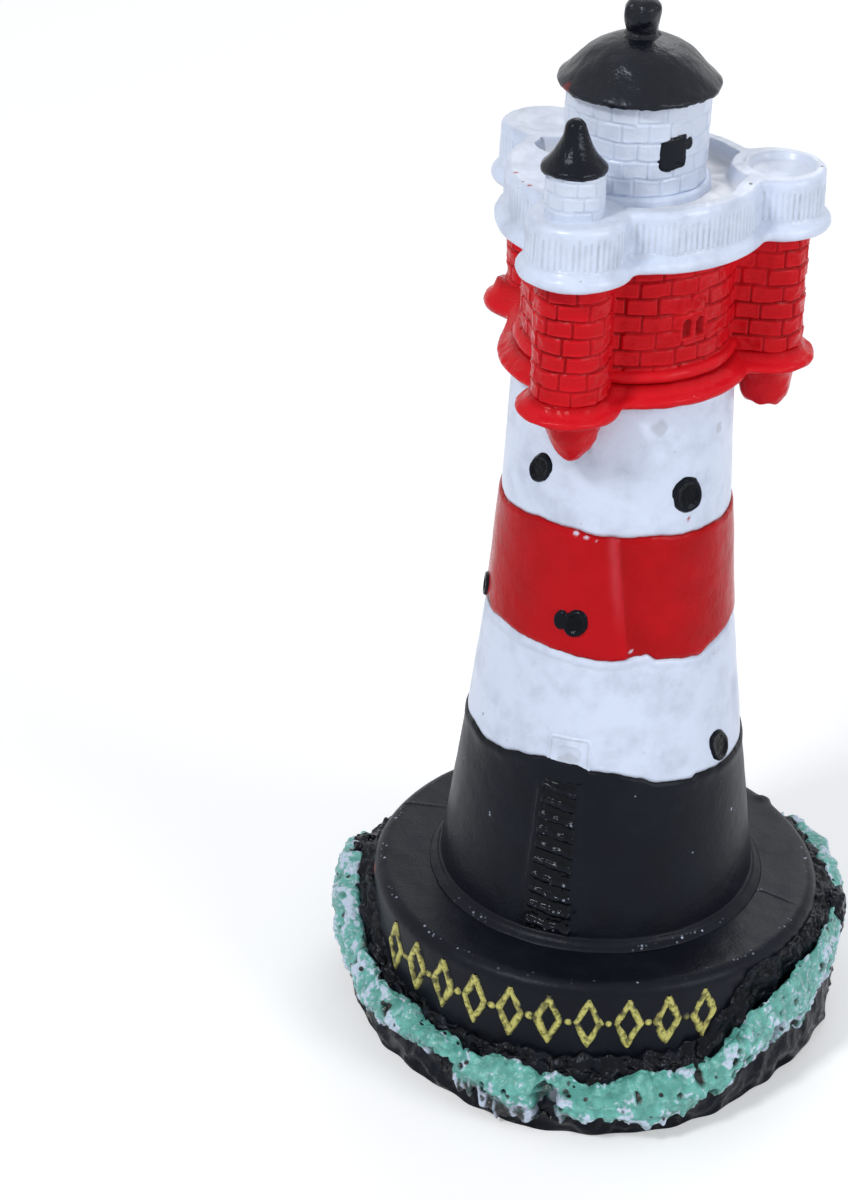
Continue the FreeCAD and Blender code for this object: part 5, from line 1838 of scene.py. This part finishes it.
def build_gallery():
    """Parapets, rims and deck as one casting: ribs outside, a broad smooth rim on top."""
    columns, girth = plan_columns(parapet_radius, round_radius, 1.3, 0.17)
    turns = [column[2] for column in columns]
    foot = parapet_low - 0.4
    masks = {name: [0.0] * len(turns) for name in ("joint", "painted_well_light", "red", "dark")}
    grid = [closing(foot, turns)]
    grid += ribbed_wall(columns, girth, foot, masks)
    grid += rounded_edge(turns, masks)
    grid += gallery_top(turns, masks)
    grid.append(closing(deck_high, turns))
    for amounts in masks.values():
        amounts.extend([0.0] * len(turns))
    gallery = skin("gallery_casting", grid, masks, wrap=True)
    nodes = [f"parapet_{name}" for name in ("front", "rear", "left")]
    nodes += [f"oriel_{part}_{name}" for part in ("parapet", "floor") for name in ORIELS]
    dress(gallery, white_paint, "white_paint", "deck", *nodes)


build_cornice()
build_gallery()


# Turret, lantern and roof

plinth_low, plinth_high = span("lantern_plinth")
lantern_low, lantern_high = span("lantern_wall")
lantern_radius = reach_at("lantern_wall", lantern_high)
turret_low, turret_high = span("turret_wall")
turret_axis = middle("turret_wall")
turret_radius = half_width("turret_wall")
cap_low, cap_high = span("turret_cap")
cap_axis = middle("turret_cap")
cap_radius = half_width("turret_cap")
roof_low, roof_high = span("roof")
roof_radius = half_width("roof")
finial_low, finial_high = span("finial")


def lantern_window_shape(across, up):
    """How far a place lies inside the lantern window's painted outline."""
    here = Vector((across, up, 90.0))
    side = 1.95 + 0.12 * lumps(here, 1.2, 191.0) - abs(across + 0.1)
    tall = 2.15 + 0.12 * lumps(here, 1.2, 192.0) - abs(up - 0.08 * across)
    corner = 1.25 if across < 0 else 0.5
    if side < corner and tall < corner:
        inside = corner - math.hypot(corner - side, corner - tall)
    else:
        inside = min(side, tall)
    smear = 0.75 - math.hypot(across - 2.15, (up - 0.95) * 0.9)
    return max(inside, smear)


def build_lantern():
    """The lantern: its low white foot, its brick wall and its black window."""
    reach = half_width("lantern_plinth")

    def shape(turn, radius, height):
        here = spot(turn, radius, height)
        swell = uneven("plinth", here)
        return radius + swell * min(radius / 2, 1.0), height + swell * 0.5

    plinth = turned(
        "lantern_plinth_casting",
        flow([(0.0, plinth_low), (reach + 0.5, plinth_low), (reach + 0.5, plinth_low),
              (reach + 0.12, plinth_low + 0.6), (reach, plinth_high - 0.8),
              (reach - 0.12, plinth_high - 0.2), (reach - 0.5, plinth_high),
              (0.0, plinth_high)], 0.3),
        shape, turns=turns_round(180)
    )
    dress(plinth, white_paint, "white_paint", "lantern_plinth")
    wall = brick_wall(
        "lantern_bricks", (0.0, 0.0), lantern_radius, lantern_low, lantern_high,
        bricks=18, courses=5, depth=0.16, seed=211.0,
    )
    dress(wall, white_bricks, "white_paint", "lantern_wall")
    low, high = span("lantern_window")

    def wall_reach(turn, height):
        return lantern_radius

    def relief(across, up):
        inside = lantern_window_shape(across, up)
        here = Vector((across, up, 110.0))
        rise = 0.26 * ease(-0.05, 0.25, inside)
        dent = 0.14 * bell(math.hypot(across - 0.4, up + 1.35), 0.22)
        swell = 0.04 * lumps(here, 1, 212.0) * ease(0.0, 0.3, inside)
        return (rise - 0.02 + swell - dent,)

    pane = patch(
        "lantern_window_paint", turn_of("lantern_window") - math.radians(1.0), (low + high) / 2,
        7.0, 5.4, wall_reach, relief, step=0.13
    )
    dress(pane, gloss_black, "gloss_black_paint", "lantern_window")


def build_turret():
    """The turret of white bricks and its black bell-shaped cap."""
    wall = brick_wall(
        "turret_bricks", turret_axis, turret_radius, turret_low, turret_high,
        bricks=9, courses=3, depth=0.15, seed=221.0, sunk=0.4,
    )
    dress(wall, white_bricks, "white_paint", "turret_wall")
    tall = cap_high - cap_low
    line = flow(
        [(0.0, 0.3), (turret_radius - 0.4, 0.25), (cap_radius - 0.35, 0.0),
         (cap_radius - 0.05, 0.22), (cap_radius - 0.08, 0.70),
         (cap_radius * 0.86, 1.25), (cap_radius * 0.66, 2.15),
         (cap_radius * 0.49, 3.4), (cap_radius * 0.38, 4.6),
         (cap_radius * 0.30, tall - 0.75), (cap_radius * 0.19, tall - 0.22),
         (cap_radius * 0.08, tall - 0.03), (0.0, tall)],
        0.2,
    )

    def shape(turn, radius, height):
        ring = spot(turn, cap_radius, 0.0)
        here = spot(turn, radius, height)
        lip = 1 - ease(0.0, 1.2, height)
        wave = uneven("cap edge", ring) * lip
        radius += uneven("cap", here) * min(radius, 1.0)
        level = min(max(cap_low + height + wave, cap_low - 0.30), cap_high)
        return min(radius, cap_radius), level

    cap = turned("turret_cap_casting", line, shape, cap_axis, turns_round(130))
    dress(cap, gloss_black, "black_paint", "turret_cap")


def build_roof():
    """The shallow roof, wavy along its edge."""
    tall = roof_high - roof_low
    line = flow(
        [(0.0, 0.35), (lantern_radius - 0.4, 0.35), (roof_radius - 0.5, -0.02),
         (roof_radius - 0.10, 0.12), (roof_radius, 0.42),
         (roof_radius - 0.30, 0.85), (roof_radius - 1.4, 1.9),
         (roof_radius - 2.7, 3.25), (roof_radius - 4.1, 4.5),
         (roof_radius - 6.0, 5.55), (3.0, 6.05), (2.2, tall), (0.0, tall)],
        0.3,
    )
    red_place = spot(math.radians(-62), roof_radius, roof_low + 0.4)

    def shape(turn, radius, height):
        ring = spot(turn, roof_radius, 0.0)
        here = spot(turn, radius, height)
        lip = 1 - ease(0.0, 1.6, height)
        wave = uneven("roof edge", ring) * lip
        drip = max(0.0, lumps(ring, 1.0, 243.0) - 0.15) * 0.8 * (1 - ease(0.0, 0.4, height))
        swell = uneven("roof", here) * min(radius / 2, 1.0)
        red = dab(spot(turn, radius, roof_low + height), red_place, 1.2, 245.0) * 0.6
        return min(radius + swell, roof_radius), roof_low + height + wave - drip, red

    roof = turned("roof_casting", line, shape, turns=turns_round(260), masks=("red",))
    dress(roof, roof_black, "black_paint", "roof")


def build_finial():
    """The knob on the roof."""
    tall = finial_high - finial_low
    line = flow(
        [(0.0, -0.4), (2.55, -0.4), (2.35, 0.1), (2.0, 0.5),
         (2.05, 1.1), (2.25, 2.0), (2.3, 2.9), (2.2, 3.7),
         (1.75, 4.4), (1.0, tall - 0.08), (0.0, tall)],
        0.2,
    )

    def shape(turn, radius, height):
        here = spot(turn, radius, height)
        swell = uneven("finial", here)
        level = min(finial_low + height + swell * 0.6, finial_high)
        return radius + swell * min(radius, 1.0), level

    knob = turned("finial_casting", line, shape, turns=turns_round(90))
    dress(knob, roof_black, "black_paint", "finial")


build_lantern()
build_turret()
build_roof()
build_finial()


# Floor, lamps and surroundings


def seen_directly(tree):
    """1 for what the camera sees itself, in a reflection or through glass, and 0 for stray light."""
    path = add(tree, "ShaderNodeLightPath").outputs
    seen = sums(tree, "MAXIMUM", path["Is Camera Ray"], path["Is Glossy Ray"])
    return sums(tree, "MAXIMUM", seen, path["Is Transmission Ray"])


def build_stage():
    """A wide pale floor under the base, in metres."""
    mesh = bpy.data.meshes.new("floor")
    half = 3.0
    mesh.from_pydata(
        [(-half, -half, 0), (half, -half, 0), (half, half, 0), (-half, half, 0)], [], [(0, 1, 2, 3)]
    )
    floor = put_in_scene("floor", mesh)
    floor.location.z = -0.02 * MM
    material, tree, shader = start_finish("pale floor")
    feed(tree, shader, Base_Color=(0.86, 0.86, 0.87, 1.0), Roughness=0.9)
    feed(tree, shader, Emission_Color=(1.0, 1.0, 1.0, 1.0))
    tree.links.new(
        sums(tree, "MULTIPLY", seen_directly(tree), 0.30), shader.inputs["Emission Strength"]
    )
    floor.data.materials.append(material)


def build_lamp(name, place, size, power):
    """A square lamp that is aimed at the tower's middle. place and size are in metres."""
    lamp = bpy.data.lights.new(name, "AREA")
    lamp.size = size
    lamp.energy = power
    item = put_in_scene(name, lamp)
    item.location = place
    aim = Vector((0.0, 0.0, 0.07)) - item.location
    item.rotation_euler = aim.to_track_quat("-Z", "Y").to_euler()


def build_world():
    """Even studio light, with plain white behind it all."""
    world = bpy.data.worlds.new("studio")
    world.use_nodes = True
    tree = world.node_tree
    plain = tree.nodes["Background"]
    plain.inputs["Color"].default_value = (0.90, 0.94, 1.0, 1.0)
    plain.inputs["Strength"].default_value = 0.42
    white = add(tree, "ShaderNodeBackground", {"Color": (1.0, 1.0, 1.0, 1.0), "Strength": 1.0})
    both = add(tree, "ShaderNodeMixShader", {0: seen_directly(tree)})
    tree.links.new(plain.outputs[0], both.inputs[1])
    tree.links.new(white.outputs[0], both.inputs[2])
    tree.links.new(both.outputs[0], tree.nodes["World Output"].inputs["Surface"])
    bpy.context.scene.world = world


build_stage()
build_lamp("key", place=(-0.55, -0.65, 0.95), size=0.18, power=6.0)
build_lamp("fill", place=(0.85, -0.55, 0.55), size=0.45, power=3.7)
build_lamp("back", place=(0.25, 0.9, 0.8), size=0.6, power=2.6)
build_world()
